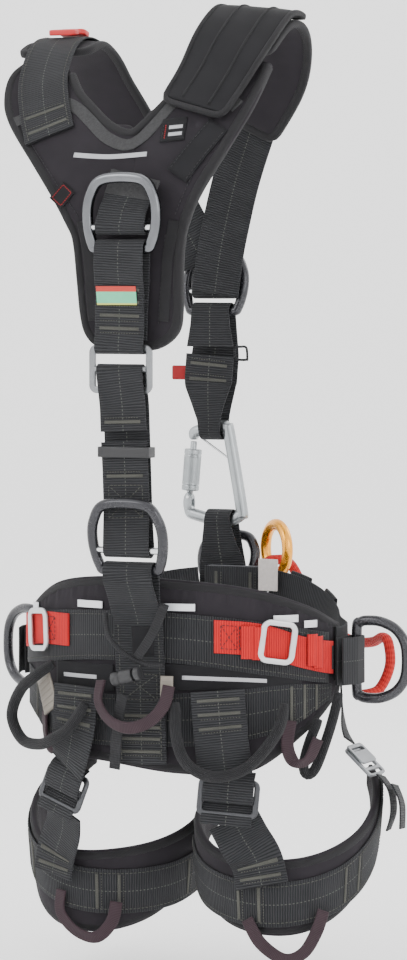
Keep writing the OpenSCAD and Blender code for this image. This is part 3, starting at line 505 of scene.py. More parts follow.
makeCamera()
makeWorld()
makeFloor()
for name, at, size, power in (("key", (-1.6, -2.4, 2.2), 1.6, 30), ("side", (2.6, -1.2, 1.2), 1.4, 16),
                              ("top", (0.2, 0.3, 2.8), 1.8, 8), ("rim", (1.2, 1.6, 1.6), 1.2, 14)):
    makeLight(name, at, size, power)
print("stage made")


# ---------- cords ----------

bridgeRope = {
    "route": [[154, 34, -14], [164, 50, -10], [171, 58, 10], [168, 62, 30], [158, 72, 34], [142, 88, 28],
              [118, 106, 26], [88, 122, 34], [66, 132, 52], [50, 137, 76], [43, 134, 90], [38, 128, 95.4],
              [33, 122, 96], [28, 116, 95], [23, 113.6, 88], [20, 116, 75], [13, 121, 62], [-2, 127, 52],
              [-40, 132, 38], [-96, 116, 28], [-134, 76, 12], [-152, 46, -4]],
    "radius": 4.6,
}


# The rope's free length is the length of its route
def makeRope():
    path = even(smooth(bridgeRope["route"], 8), 2.4)
    rope = makePiece("bridge_rope_braid", swept(path, section(2 * bridgeRope["radius"], sides=24)),
                     "red_rope", node="bridge_rope")
    round(float(runOf(path)[-1]) * mm, 3)


makeRope()
print("cords made")


# ---------- laths: straps and panels with two faces and a rounded rim ----------

webThick = 1.6


# Solid between two faces, half of thick either side of the grid of points; u runs across and v along
def lath(points, normals, thick):
    m, n = points.shape[:2]
    thick = np.broadcast_to(np.asarray(thick, float), (m, n))[..., None]
    across = unit(points[:, -1] - points[:, 0])[:, None]
    turn = np.array([60, 25, -25, -60]) * math.pi / 180
    rise, reach = np.sin(turn)[None, :, None], np.cos(turn)[None, :, None]
    outer = points + normals * thick / 2
    inner = (points - normals * thick / 2)[:, ::-1]
    right = points[:, -1:] + (normals[:, -1:] * rise + across * reach) * thick[:, -1:] / 2
    left = points[:, :1] + (-normals[:, :1] * rise - across * reach) * thick[:, :1] / 2
    u = runOf(points[m // 2])
    u = u - u[-1] / 2
    ring = np.concatenate([u, [u[-1]] * 4, u[::-1], [u[0]] * 4, u[:1]])
    return gridPart(np.concatenate([outer, right, inner, left], 1), ring, runOf(points[:, n // 2]), wrapColumns=True,
                    capped=True)


# Straight runs between rows an even 1 mm apart, rounded by averaging each with its neighbours a few times
def relaxed(rows):
    rows = even(np.asarray(rows, float), 1.0)
    for _ in range(6):
        rows[1:-1] = (rows[:-2] + 2 * rows[1:-1] + rows[2:]) / 4
    return rows


# Rows of a tape that faces straight to the front, side 1, or to the back, side -1
def facing(side, points, width=45.0):
    return [[*p, 0, side, 0, width] for p in points]


# Grid of a tape's middle: rows are [x, y, z, face direction, width], columns run from one edge to the other.
# With steps 0 the route is tight round its bars and is relaxed in place of a smooth curve
def tapeGrid(route, width=45.0, lift=0.0, steps=6, columns=9):
    rows = [list(r) + ([] if len(r) > 6 else [width]) for r in route]
    rows = smooth(rows, steps) if steps else relaxed(rows)
    p, face, wide = rows[:, :3], rows[:, 3:6], rows[:, 6:7]
    along = unit(np.gradient(p, axis=0))
    side = unit(np.cross(along, face))
    out = np.cross(side, along)
    t = np.linspace(-0.5, 0.5, columns)[None, :, None]
    points = (p + out * lift)[:, None] + side[:, None] * t * wide[:, None]
    return points, np.repeat(out[:, None], columns, 1)


# Slight unevenness of sewn webbing: two slow waves along and across, under amount mm
def uneven(grid, amount, seed=0.0):
    points, normals = grid
    s = points.sum(-1)
    wave = np.sin(s * 0.083 + seed) * np.cos(s * 0.031 + 1.7 * seed)
    return points + normals * (wave * amount)[..., None], normals


waistX, waistY = 138, 102
thighX, thighY = 70, 76


# The waist is an oval, off mm out from the wearer, a in degrees from the right hip round by the front
def waist(a, z, off):
    a = np.radians(a)
    return np.stack([(waistX + off) * np.cos(a), (waistY + off) * np.sin(a), z + 0 * a], -1)


# The oval's outward direction: the cosine over one radius and the sine over the other
def waistNormal(a):
    a = np.radians(a)
    return unit(np.stack([np.cos(a) / waistX, np.sin(a) / waistY, 0 * a], -1))


# Panel round the waist between two lists of heights, off being its middle surface
def waistGrid(start, stop, low, high, off, rows=60, columns=9):
    a = np.linspace(start, stop, rows)
    lo, hi = spread(low, rows), spread(high, rows)
    t = np.linspace(0, 1, columns)
    z = lo[:, None] + (hi - lo)[:, None] * t
    aa = np.tile(a[:, None], (1, columns))
    return waist(aa, z, off), waistNormal(aa)


# Panel round a thigh, an oval that widens upwards
def thighGrid(centre, start, stop, low, high, off, rows=60, columns=9):
    a = np.radians(np.linspace(start, stop, rows))
    lo, hi = spread(low, rows), spread(high, rows)
    z = lo[:, None] + (hi - lo)[:, None] * np.linspace(0, 1, columns)
    k = 1 + (z + 160) / 900
    aa = np.tile(a[:, None], (1, columns))
    x, y = centre[0] + (thighX * k + off) * np.cos(aa), centre[1] + (thighY * k + off) * np.sin(aa)
    return np.stack([x, y, z], -1), unit(np.stack([np.cos(aa) / thighX, np.sin(aa) / thighY, 0 * aa], -1))


# Point and frame on a grid: along in mm from its start and across in mm from its middle
def onGrid(grid, along, across, lift=0.0):
    points, normals = grid
    m, n = points.shape[:2]
    along, across = np.broadcast_arrays(np.asarray(along, float), np.asarray(across, float))
    i = np.interp(along, runOf(points[:, n // 2]), np.arange(m))
    i0 = np.minimum(i.astype(int), m - 2)
    f = (i - i0)[..., None]
    width = np.linalg.norm(points[i0, -1] - points[i0, 0], axis=-1)
    j = np.clip((across / width + 0.5) * (n - 1), 0, n - 1.001)
    j0 = j.astype(int)
    g = (j - j0)[..., None]
    def at(field):
        return ((field[i0, j0] * (1 - f) + field[i0 + 1, j0] * f) * (1 - g)
                + (field[i0, j0 + 1] * (1 - f) + field[i0 + 1, j0 + 1] * f) * g)
    normal = unit(at(normals))
    return at(points) + normal * lift, normal


# Length of a grid's middle line
def lengthOf(grid):
    return runOf(grid[0][:, grid[0].shape[1] // 2])[-1]


# Threads: each is a low dome of six sides from a to b, standing on the surface
def threads(a, b, normal, radius=0.45):
    a, b, normal = a.reshape(-1, 3), b.reshape(-1, 3), normal.reshape(-1, 3)
    along = unit(b - a)
    side = np.cross(along, normal)
    t = np.arange(6) * math.pi / 3
    rows = []
    for share, size in ((0, 0.35), (0.2, 1.0), (0.8, 1.0), (1, 0.35)):
        middle = a + (b - a) * share
        rows.append(middle[:, None] + radius * size * (np.cos(t)[None, :, None] * normal[:, None]
                                                      + np.sin(t)[None, :, None] * side[:, None]))
    ring = np.stack(rows, 1)
    count = len(a)
    base = (np.arange(count) * 24)[:, None, None]
    i, j = np.meshgrid(np.arange(3), np.arange(6), indexing="ij")
    quad = np.stack([i * 6 + j, i * 6 + (j + 1) % 6, (i + 1) * 6 + (j + 1) % 6, (i + 1) * 6 + j], -1).reshape(-1, 4)
    faces = (quad[None] + base).reshape(-1, 4).tolist()
    ends = np.stack([np.arange(6)[::-1], 18 + np.arange(6)])
    faces += (ends[None] + base).reshape(-1, 6).tolist()
    loops = sum(len(f) for f in faces)
    return ring.reshape(-1, 3), faces, np.zeros((loops, 2)) + np.linspace(0, 40, loops)[:, None]


# Running stitch along a line of [along, across] points on a grid's outer face
def seam(grid, line, lift, stitch=2.7, space=1.0, radius=0.38):
    line = even(np.asarray(line, float), 0.5)
    run = runOf(line)
    starts = np.arange(0, run[-1] - stitch, stitch + space)
    at = lambda s: (np.interp(s, run, line[:, 0]), np.interp(s, run, line[:, 1]))
    a, n = onGrid(grid, *at(starts), lift)
    b, n2 = onGrid(grid, *at(starts + stitch), lift)
    return threads(a, b, unit(n + n2), radius)


# Bar tack: a dense zigzag block across a tape, thick mm along it
def barTack(grid, along, lift, width, thick=3.0):
    across = np.arange(0, width, 0.62) - width / 2
    a, n = onGrid(grid, along - thick / 2, across, lift)
    b, _ = onGrid(grid, along + thick / 2, across, lift)
    return threads(a, b, n, 0.42)


# Row of tacks: one dense zigzag bar right across the tape, with a sparse one beside it
def tackRow(grid, along, lift, width=38.0, long=10.0):
    line = [[along + long / 2, -width / 2], [along + long / 2, width / 2]]
    return [barTack(grid, along, lift, width), seam(grid, line, lift, 1.6, 0.9)]


# Box stitch with its cross
def boxStitch(grid, start, stop, half, lift):
    box = [[start, -half], [stop, -half], [stop, half], [start, half], [start, -half]]
    return [seam(grid, box, lift), seam(grid, [[start, -half], [stop, half]], lift),
            seam(grid, [[start, half], [stop, -half]], lift)]


# Two running stitches along a tape, inset mm from its edges
def edgeSeams(grid, lift, inset=3.0):
    start = 3.0
    long = lengthOf(grid) - start
    half = np.linalg.norm(grid[0][:, -1] - grid[0][:, 0], axis=1) / 2 - inset
    run = runOf(grid[0][:, grid[0].shape[1] // 2])
    s = np.linspace(start, long, 60)
    reach = np.interp(s, run, half)
    return [seam(grid, np.c_[s, reach], lift), seam(grid, np.c_[s, -reach], lift)]


# Straps of one piece, each slightly uneven in its own way
def makeStrap(name, grids, thick=webThick, finish="webbing", node=None):
    grids = grids if isinstance(grids, list) else [grids]
    makePiece(name, [lath(*uneven(g, 0.12, 1.3 * k), thick) for k, g in enumerate(grids)], finish, node=node)


# Section carried along a path whose cross directions are given: its x goes along side and its y along normal
def carried(path, side, normal, profile):
    x, y = profile[:, 0][None, :, None], profile[:, 1][None, :, None]
    return path[:, None] + x * side[:, None] + y * normal[:, None]


# Binding tape folded round a pad's rim: an oval section carried along the rim, flat to the pad's face
def binding(grid, width, thick):
    inset, step = 3.0, 4.0
    loop = lambda f: np.concatenate([f[:-1, 0], f[-1, :-1], f[:0:-1, -1], f[0, :0:-1]])
    both = even(np.c_[loop(grid[0]), loop(grid[1])], step, True)
    for _ in range(2):
        both = (np.roll(both, 1, 0) + 2 * both + np.roll(both, -1, 0)) / 4
    p, n = both[:, :3], unit(both[:, 3:])
    inward = unit(np.cross(n, unit(np.roll(p, -1, 0) - np.roll(p, 1, 0))))
    p = p + inward * inset
    oval = section(width, thick, 20, 3.0)
    return gridPart(carried(p, inward, n, oval), runOf(oval, True), runOf(p, True), wrapRows=True, wrapColumns=True)


# Foam pad: thickest in its middle, falling by the fourth power of the distance across and the 24th along.
# Its face ripples as the sum of two sines of the length run, quilt being their size in mm; near the two long rims,
# beyond the share free of the width, creases up to crease mm follow the product of two slanting sines
def padShape(grid, thick=8.0, rim=0.62, quilt=0.0, pitch=22.0, crease=0.0, free=0.78):
    points, normals = grid
    m, n = points.shape[:2]
    x = np.linspace(-1, 1, n)[None, :]
    y = np.linspace(-1, 1, m)[:, None]
    full = rim + (1 - rim) * (1 - np.abs(x) ** 4) * (1 - np.abs(y) ** 24)
    run = runOf(points[:, n // 2])[:, None]
    ripple = quilt * (np.sin(run * 2 * math.pi / pitch + 2.1 * x) + 0.6 * np.sin(run * 0.57 + 5 * x))
    loose = np.clip((np.abs(x) - free) / 0.06, 0, 1) * (1 - np.abs(x) ** 12)
    fold = np.sin(run * 0.52 + 9 * x) * np.sin(run * 0.11 + 1.3) + 0.5 * np.sin(run * 0.93 - 14 * x)
    body = full * thick + 2 * crease * loose * np.clip(fold, -0.7, 1)
    return lath(points + normals * (ripple * 0.3)[..., None] * (1 - np.abs(x) ** 6)[..., None], normals, body)


# Padded piece with its binding tape
def makePad(name, grids, node, thick=8.0, quilt=0.5, finish="pad_cloth", bind=8.0, crease=0.0, free=0.78):
    grids = grids if isinstance(grids, list) else [grids]
    shapes = [padShape(g, thick, quilt=quilt, crease=crease, free=free) for g in grids]
    makePiece(name, shapes, finish, node=node)
    makePiece(name + "_binding", [binding(g, bind, thick * 0.62 + 2.2) for g in grids], "binding")


# ---------- waist belt ----------

beltPad = {"low": [-4, -12, -28, -58, -65, -72, -70, -38, -8], "high": [40, 48, 63, 86, 93, 91, 84, 68, 50]}
beltWebbing = {"low": [5, 9, 16, 23, 22, 12, 2], "high": [49, 53, 60, 65, 64, 56, 45]}
lowerWebbing = {"low": [-24, -46, -51, -50, -46, -34, -12], "high": [10, -4, -8, -6, -2, 2, 0]}


def makeBelt():
    grid = waistGrid(-200, 4, beltPad["low"], beltPad["high"], 4, 260, 41)
    makePad("belt_pad_soft", grid, "belt_pad", quilt=0.5, crease=0.75)
    upper = waistGrid(-196, -10, beltWebbing["low"], beltWebbing["high"], 9.3, 120)
    makeStrap("belt_webbing_band", upper, node="belt_webbing")
    lower = waistGrid(-150, -8, lowerWebbing["low"], lowerWebbing["high"], 9.3, 100)
    makeStrap("lower_webbing_band", lower, node="lower_webbing")
    sewn = edgeSeams(upper, 0.95) + edgeSeams(lower, 0.95)
    long = lengthOf(lower)
    for share in (0.08, 0.13, 0.44, 0.5, 0.86, 0.9, 0.94):
        sewn += tackRow(lower, long * share, 1.0, width=34, long=6)
    makePiece("belt_stitching", sewn, "thread")
    flaps = []
    words = []
    for start, stop, low, high in ((-124, -97, [-4, -4], [18, 18]), (-80, -26, [-1, -0.6, 3.4], [21, 17, 6])):
        flap = waistGrid(start, stop, low, high, 9.1, 40)
        flaps.append(flap)
        long = lengthOf(flap)
        words.append(lath(*patch(flap, long * 0.16, long * 0.74, -1.6, 1.6, 0.75), 0.3))
    makeStrap("belt_flap_cloth", flaps, 0.8, "flap_cloth", node="belt_flap")
    makePiece("belt_flap_bars", words, "print")
    tabs = []
    for a, z, half in ((-141, 60.5, 3), (-107, 67, 5.5), (-73, 67, 5.5), (-33, 56.5, 5.5), (-21, 51, 3.5)):
        tabs.append(waistGrid(a - half, a + half, [z + 0.3, z + 0.3], [z + 6, z + 6], 9.3, 12, 5))
    makeStrap("reflective_tab_set", tabs, 0.6, "reflective", node="reflective_tabs")


# Part of a grid between two distances along and two across
def patch(grid, start, stop, low, high, lift=0.0, rows=24, columns=5):
    s, c = np.meshgrid(np.linspace(start, stop, rows), np.linspace(low, high, columns), indexing="ij")
    return onGrid(grid, s, c, lift)


# Row of the front belt at a degrees, out mm proud; it dips towards the hips, where it passes outside the pad
def frontRow(a, out=0.0, width=None):
    c, s = math.cos(math.radians(a)), math.sin(math.radians(a))
    off = 10 if abs(c) > 0.93 else 2.8
    row = [(waistX + off) * c, (waistY + off) * s + out, 67 - 41 * abs(c) ** 2.5, c / waistX * 120, s / waistY * 120, 0]
    return row + ([width] if width else [])


def makeFront():
    runs = [tapeGrid([frontRow(a) for a in range(-5, 77, 9)], steps=5),
            tapeGrid([frontRow(a) for a in range(104, 159, 9)], steps=5)]
    keepers = [tapeGrid([frontRow(a + d, 3, 49) for d in (-5, 0, 5)], steps=5) for a in (42, 62)]
    makePiece("front_belt_webbing", [lath(*g, 1.6) for g in runs] + [lath(*g, 3) for g in keepers],
              "webbing", node="front_belt")
    liner = waistGrid(70, 79, [70, 70], [98, 98], -2.1, 16)
    makeStrap("front_tab_liner", liner, 1.0, "grey_liner", node="front_tab")
    seat = ([0, 105.8, 66], [1, 0, 0], [0, 0, 1], [0, -1, 0])
    plate = [placed(frameRing(roundedLoop(62, 50, 6), roundedLoop(49, 46, 3), 4), seat),
             placed(puck(roundedLoop(39, 47, 2), 3.8), seat)]
    makePiece("front_buckle_plate", plate, "dark_alloy", node="front_buckle")
    backing = tapeGrid(facing(-1, [[-30, 102.4, 66], [-10, 101.8, 66], [10, 101.8, 66], [30, 102.4, 66]], 47))
    makeStrap("front_buckle_backing", backing)
    makePiece("front_buckle_stitching", tackRow(backing, 12, 1.1, width=38) + tackRow(backing, 46, 1.1, width=38),
              "thread")


# ---------- hard shapes ----------

# Outline of a rounded oblong, eight points a corner, starting at the right
def roundedLoop(w, h, r, centre=(0, 0)):
    t = np.linspace(0, math.pi / 2, 8)
    arc = np.c_[np.cos(t), np.sin(t)] * r
    corners = [(w / 2 - r, h / 2 - r, 0), (-w / 2 + r, h / 2 - r, 1), (-w / 2 + r, -h / 2 + r, 2),
               (w / 2 - r, -h / 2 + r, 3)]
    out = []
    for x, y, q in corners:
        c, s = math.cos(q * math.pi / 2), math.sin(q * math.pi / 2)
        out.append(arc @ np.array([[c, s], [-s, c]]) + [x, y])
    return np.vstack(out) + np.asarray(centre)


# Flat frame between an outer and an inner outline with as many points, its four edges eased
def frameRing(outer, inner, thick, ease=0.5):
    toward = unit(inner - outer)
    h, near = thick / 2, ease * 0.3
    rows = [(outer, ease, h), (inner, -ease, h), (inner, -near, h - near), (inner, 0, h - ease), (inner, 0, ease - h),
            (inner, -near, near - h), (inner, -ease, -h), (outer, ease, -h), (outer, near, near - h),
            (outer, 0, ease - h), (outer, 0, h - ease), (outer, near, h - near)]
    points = np.stack([np.c_[edge + toward * a, np.full(len(edge), z)] for edge, a, z in rows], 1)
    return gridPart(points, np.arange(13) * 2.0, runOf(outer, True), wrapRows=True, wrapColumns=True)


# Solid plate inside an outline, its edges eased, closed at both faces
def puck(outline, thick, ease=0.5):
    h, near = thick / 2, ease * 0.3
    inward = unit(outline.mean(0) - outline)
    rows = [(ease, -h), (near, near - h), (0, ease - h), (0, h - ease), (near, h - near), (ease, h)]
    points = np.stack([np.c_[outline + inward * a, np.full(len(outline), z)] for a, z in rows], 0)
    return gridPart(points, runOf(points[2], True), [z for _, z in rows], wrapColumns=True, capped=True)


# Turn about one axis
def turnMatrix(axis, degrees):
    c, s = math.cos(math.radians(degrees)), math.sin(math.radians(degrees))
    i, j = ((1, 2), (2, 0), (0, 1))["xyz".index(axis)]
    m = np.eye(3)
    m[i, i], m[j, j], m[i, j], m[j, i] = c, c, -s, s
    return m


# Origin and directions of a shape's place after a row of turns, each about the axis as the last ones left it
def seatOf(origin, *turns):
    m = np.eye(3)
    for axis, degrees in turns:
        m = m @ turnMatrix(axis, degrees)
    return origin, m[:, 0], m[:, 1], m[:, 2]


ringBar, barGap, ringLean = 4.6, 18, 11
# Half way between each ring's lower bar and its pin, and the adjuster's middle bar
dorsalAt, backAt, sternalAt, adjusterAt = [2, -134, 387], [7, -130, 111], [-25, 112, 331], [-2, -128, 275]
ringOutline = np.array([[-0.62, 0], [0.62, 0], [0.86, 0.08], [1, 0.42], [0.92, 0.74], [0.55, 0.97], [-0.55, 0.97],
                        [-0.92, 0.74], [-1, 0.42], [-0.86, 0.08]])


# Attachment ring w wide and h high; a forged one is squarer and thinner towards the bow's middle
def attachmentRing(w, h, power=2.0, swell=0.0):
    wide, tall = w / 2 - ringBar, h - 2 * ringBar
    path = smooth(np.c_[ringOutline * [wide, tall], np.zeros(10)], 12, closed=True)
    k = 1 - swell * np.cos((path[:, 1] / tall - 0.5) * math.pi) ** 2
    return swept(path, section(2 * ringBar, sides=28, power=power), closed=True, flat=[0, 0, 1], scale=k)


# Ring with a cross pin barGap above its lower bar; it is hung by the point half way between them
def twoBarRing(name, w, h, at, lean, finish, body, slotName=None, front=False, **forged):
    seat = seatOf(at, ("z", 180 if front else 0), ("x", lean), ("x", 90))
    inside = (w / 2 - ringBar) * 0.96 - 2
    pin = turned([-inside, barGap, 0], [inside, barGap, 0], bevelled(2 * inside, 3))
    shift = lambda part: (part[0] - [0, barGap / 2, 0], part[1], part[2])
    makePiece(name, placed(shift(attachmentRing(w, h, **forged)), seat), finish, body, body)
    makePiece(name + "_pin", placed(shift(pin), seat), "bright_steel", body)


def makeRings():
    twoBarRing("dorsal_ring_forged", 74, 70, dorsalAt, 0, "polished", "dorsal_ring", "dark_alloy", power=2.6,
               swell=0.06)
    twoBarRing("back_ring_black", 76, 69, backAt, ringLean, "black_alloy", "back_ring")
    twoBarRing("sternal_ring_black", 66, 62, sternalAt, ringLean, "black_alloy", "sternal_ring", front=True)
    seat = seatOf([-17, 121.5, 78], ("z", 180), ("x", 14), ("x", 90))
    makePiece("ventral_ring_black", placed(attachmentRing(62, 50), seat), "black_alloy", node="ventral_ring")
    side = [[-26, 0, 0], [26, 0, 0], [32, 3, 0], [34, 10, 0], [33, 24, 0], [26, 38, 0], [12, 46, 0], [-12, 46, 0],
            [-26, 38, 0], [-33, 24, 0], [-34, 10, 0], [-32, 3, 0]]
    for name, at, angle in (("side_ring_right", [158, 14, 20], 0), ("side_ring_left", [-158, 14, 18], 150)):
        part = swept(smooth(side, 10, closed=True), section(2 * ringBar, sides=28), closed=True, flat=[0, 0, 1])
        makePiece(name + "_black", placed(part, seatOf(at, ("z", angle), ("x", 90), ("z", -90))),
                  "black_alloy", name, name)
    t = np.radians(np.linspace(-140, 140, 28))
    bore = [[18.0, 2.5], [17.5, 2.1], [17.5, -2.1], [18.0, -2.5]]
    profile = np.vstack([np.c_[22.5 + 5 * np.cos(t), 5 * np.sin(t)], bore])
    a = np.arange(96) * 2 * math.pi / 96
    points = np.stack([profile[None, :, 0] * np.cos(a)[:, None], profile[None, :, 0] * np.sin(a)[:, None],
                       np.tile(profile[None, :, 1], (96, 1))], -1)
    ring = gridPart(points, np.arange(33) * 1.1, a.tolist() + [2 * math.pi], wrapRows=True, wrapColumns=True)
    makePiece("bridge_ring_orange", placed(ring, seatOf([33, 122, 106], ("z", -40), ("x", 90))),
              "orange_alloy", "bridge_ring", "bridge_ring")


# Slider: rounded rim with one round middle bar
def sliderParts(w, h, rim, thick, bar):
    path = np.c_[roundedLoop(w - rim, h - rim, 7 - rim / 2), np.zeros(32)]
    rimPart = swept(path, section(rim, thick, 20, 4.0), closed=True, flat=[0, 0, 1])
    half = (w - 2 * rim) / 2 + 0.5
    return [rimPart, turned([-half, 0, 0], [half, 0, 0], bevelled(2 * half, bar, 0.2))]


def makeAdjusters():
    seat = seatOf([-2, -128, 275], ("x", 90))
    makePiece("dorsal_adjuster_frame", [placed(p, seat) for p in sliderParts(60, 42, 6, 3.2, 2.6)],
              "satin_grey", node="dorsal_adjuster")
    wraps = []
    for side, at, turn, lean, roll in (("left", [-69, -105, -92], -18, -14, -14),
                                       ("right", [86, -99, -93], 15, -8, -4)):
        seat = seatOf(np.array(at, float), ("z", turn), ("x", lean), ("x", 90), ("z", roll))
        makePiece(f"riser_adjuster_{side}_frame", [placed(p, seat) for p in sliderParts(54, 34, 5, 3, 2.4)],
                  "dark_alloy", node=f"riser_adjuster_{side}")
        o, _, ey, ez = seat
        for rows in ([[23, -.6, -.2], [18, 3.2, 0], [11, 4.4, 0], [4, 3.9, 0], [-3.2, 2.4, -.7], [-3.6, -1.6, -1.3]],
                     [[3, -4.2, 0], [-5, -4, 0], [-11, -1.8, 0], [-17, 1.6, 0], [-24, 1.6, 0]]):
            wraps.append(tapeGrid([np.r_[o + y * ey + z * ez, ez + tip * ey, 43] for y, z, tip in rows], steps=8))
    makeStrap("riser_adjuster_wraps", wraps)
    outer, inner = roundedLoop(49, 15, 2), roundedLoop(45, 12.4, 1.2)
    makePiece("spine_keeper_band", placed(frameRing(outer, inner, 9), ([3.4, -128.6, 204], [1, 0, 0], [0, 1, 0],
              [0, 0, 1])), "dark_plastic", node="spine_keeper")
    plates = []
    for y, lean in ((-12, 6), (8, -16)):
        o, ex, ey, ez = seatOf(np.array([-115, y, 568.5]), ("x", lean))
        plates.append(placed(puck(roundedLoop(26, 13, 4), 5, 0.9), (o + ez * 2.5, ex, ey, ez)))
    makePiece("shoulder_adjuster_red", plates, "red_plastic", node="shoulder_adjuster")


makeBelt()
makeFront()
makeRings()
makeAdjusters()
print("belt and rings made")


# ---------- back yoke and shoulders ----------

yokeFoot, yokeTall, yokeDeep, yokeBend = 400, 153, 78, 1.9


# The yoke's face: flat up to its foot, then bending forward by a power of the height above it
def yokeY(z):
    z = np.asarray(z, float)
    return -118 + yokeDeep * np.maximum((z - yokeFoot) / yokeTall, 0) ** yokeBend


def yokeNormal(z):
    slope = yokeDeep * yokeBend / yokeTall * np.maximum((z - yokeFoot) / yokeTall, 0) ** (yokeBend - 1)
    return unit(np.stack([0 * slope, -1 + 0 * slope, slope], -1))


yokeLeft = [[-129, 543, -104, 549], [-142, 530, -84, 528], [-139, 508, -70, 514], [-127, 488, -56, 503],
            [-95, 452, -31, 485], [-71, 422, -8, 478], [-57, 400, 2.4, 440], [-50, 385, 2.4, 400],
            [-46, 350, 2.4, 350], [-43, 322, 2.4, 318], [-38, 305, 2.4, 300], [-26, 296, 2.4, 293]]
yokeRight = [[103, 536, 57, 548], [101, 512, 39, 539], [95, 490, 28, 518], [80, 457, 15, 500], [65, 429, 3, 487],
             [56, 409, 1.6, 440], [49, 385, 1.6, 400], [47, 350, 1.6, 350], [47, 325, 1.6, 318],
             [43, 308, 1.6, 300], [27, 296, 1.6, 293]]
shoulderRoutes = {
    "left": [[-84, float(yokeY(476)) - 3.4, 476, 0, -1, .52], [-97, float(yokeY(502)) - 3.6, 502, 0, -1, .67],
             [-108, float(yokeY(529)) - 4, 529, 0, -1, .83], [-114, -33, 558, 0, -.5, .9], [-115, 0, 566, 0, .1, 1],
             [-112, 34, 553, 0, .5, .85], [-106, 64, 524, .1, .85, .45], [-92, 82, 486, .1, 1, .15],
             [-68, 93, 437, 0, 1, 0], [-46, 102, 392, 0, 1, 0], [-35, 109.5, 366, 0, 1, 0]],
    "right": [[50, float(yokeY(498)) - 3.6, 498, 0, -1, .65], [60, float(yokeY(525)) - 4.2, 525, 0, -1, .81],
              [68, -46, 557, .1, -.5, .85], [72, -14, 581, .1, -.1, 1], [71, 16, 580, .1, .35, .95],
              [63, 44, 560, .1, .7, .7], [50, 66, 532, .1, .9, .3], [28, 82, 492, 0, 1, .1], [7, 92, 444, 0, 1, 0],
              [-8, 99, 398, 0, 1, 0], [-16, 103.5, 368, 0, 1, 0], [-21, 105.2, 338, 0, 1, 0]],
}


# Half of the yoke between an outer and an inner edge, its middle at half the pad's thickness
def yokeGrid(pairs, flip):
    rows = smooth(pairs, 8)
    t = np.linspace(0, 1, 15)[None, :]
    t = 1 - t if flip else t
    x = rows[:, :1] + (rows[:, 2:3] - rows[:, :1]) * t
    z = rows[:, 1:2] + (rows[:, 3:4] - rows[:, 1:2]) * t
    return np.stack([x, yokeY(z) + 4, z], -1), yokeNormal(z)


# Band on the yoke's face along [x, z] points, wide mm across
def yokeBand(line, wide, lift):
    p = smooth(line, 8)
    normal = yokeNormal(p[:, 1])
    middle = np.stack([p[:, 0], yokeY(p[:, 1]), p[:, 1]], -1) + normal * lift
    side = unit(np.cross(unit(np.gradient(middle, axis=0)), normal))
    t = np.linspace(-0.5, 0.5, 9)[None, :, None]
    points = middle[:, None] + side[:, None] * t * wide
    return points, np.repeat(normal[:, None], 9, 1)


def makeYoke():
    halves = [yokeGrid(yokeLeft, False), yokeGrid(yokeRight, True)]
    pad = makePiece("back_yoke_pad", [padShape(g, 8, 0.8, quilt=0.45, pitch=30) for g in halves], "pad_cloth",
                    node="back_yoke")
    edge = [[2, 293.5], [-26, 296.5], [-38, 305.5], [-43, 322], [-46, 350], [-50, 385], [-57, 401], [-71, 423],
            [-95, 453], [-127, 489], [-138, 509], [-140, 529], [-128, 541]]
    other = [[2, 293.5], [27, 296.5], [42.5, 308], [46, 325], [46, 350], [48, 385], [55, 409.5], [64, 430], [79, 458],
             [93.5, 491], [99.5, 513], [102, 534]]
    neck = [[-84, 529], [-70, 513], [-56, 502], [-31, 484], [-9, 476.5], [3, 485.5], [14.5, 499], [27, 517], [38, 538],
            [55, 546]]
    rims = []
    for line in (edge, other, neck):
        p = smooth(line, 8)
        path = even(np.stack([p[:, 0], yokeY(p[:, 1]) + 4, p[:, 1]], -1), 3)
        normal = yokeNormal(path[:, 2])
        side = unit(np.cross(normal, unit(np.gradient(path, axis=0))))
        oval = section(8.5, 9.6, 20, 3.0)
        rims.append(gridPart(carried(path, side, normal, oval), runOf(oval, True), runOf(path), wrapColumns=True,
                             capped=True))
    makePiece("back_yoke_binding", rims, "binding")
    ribbed = [lath(*yokeBand([[-44, 402], [-38, 372], [-35, 340], [-33, 316]], 9, 0.5), 0.9),
              lath(*yokeBand([[44, 402], [38, 372], [36, 340], [34, 316]], 9, 0.5), 0.9)]
    makePiece("back_yoke_edge_strips", ribbed, "binding")
    lining = [yokeBand([[-124, 488], [-102, 498], [-82, 505], [-66, 500], [-50, 489], [-30, 474], [-9, 467], [5, 474],
                        [16, 488], [25, 502]], 10, 0.6),
              yokeBand([[22, 508], [42, 515], [64, 512], [88, 499]], 12, 0.6)]
    makePiece("back_yoke_lining_band", [lath(*g, 1.0) for g in lining], "fuzz")
    makePiece("back_yoke_bar", lath(*yokeBand([[-58, 459], [-24, 457], [12, 459]], 4, 0.5), 0.4), "print")
    tag = yokeBand([[-70, 417], [-58, 431]], 15, 0.9)
    makePiece("back_yoke_tag", lath(*tag, 0.8), "flap_cloth")
    rim = [[2, -5.6], [lengthOf(tag) - 2, -5.6], [lengthOf(tag) - 2, 5.6], [2, 5.6], [2, -5.6]]
    makePiece("back_yoke_tag_edge", seam(tag, rim, 0.5, 1.6, 0.5, 0.45), "red_label")
    seams = []
    for line in ([[-36, 392], [-30, 340], [-28, 308]], [[36, 392], [31, 340], [29, 308]],
                 [[-112, 480], [-86, 452], [-62, 424], [-46, 404]], [[72, 470], [60, 444], [50, 420], [44, 404]]):
        g = yokeBand(line, 6, 0.3)
        seams.append(seam(g, [[2, 0], [lengthOf(g) - 2, 0]], 0.35))
    makePiece("back_yoke_seams", seams, "black_thread")


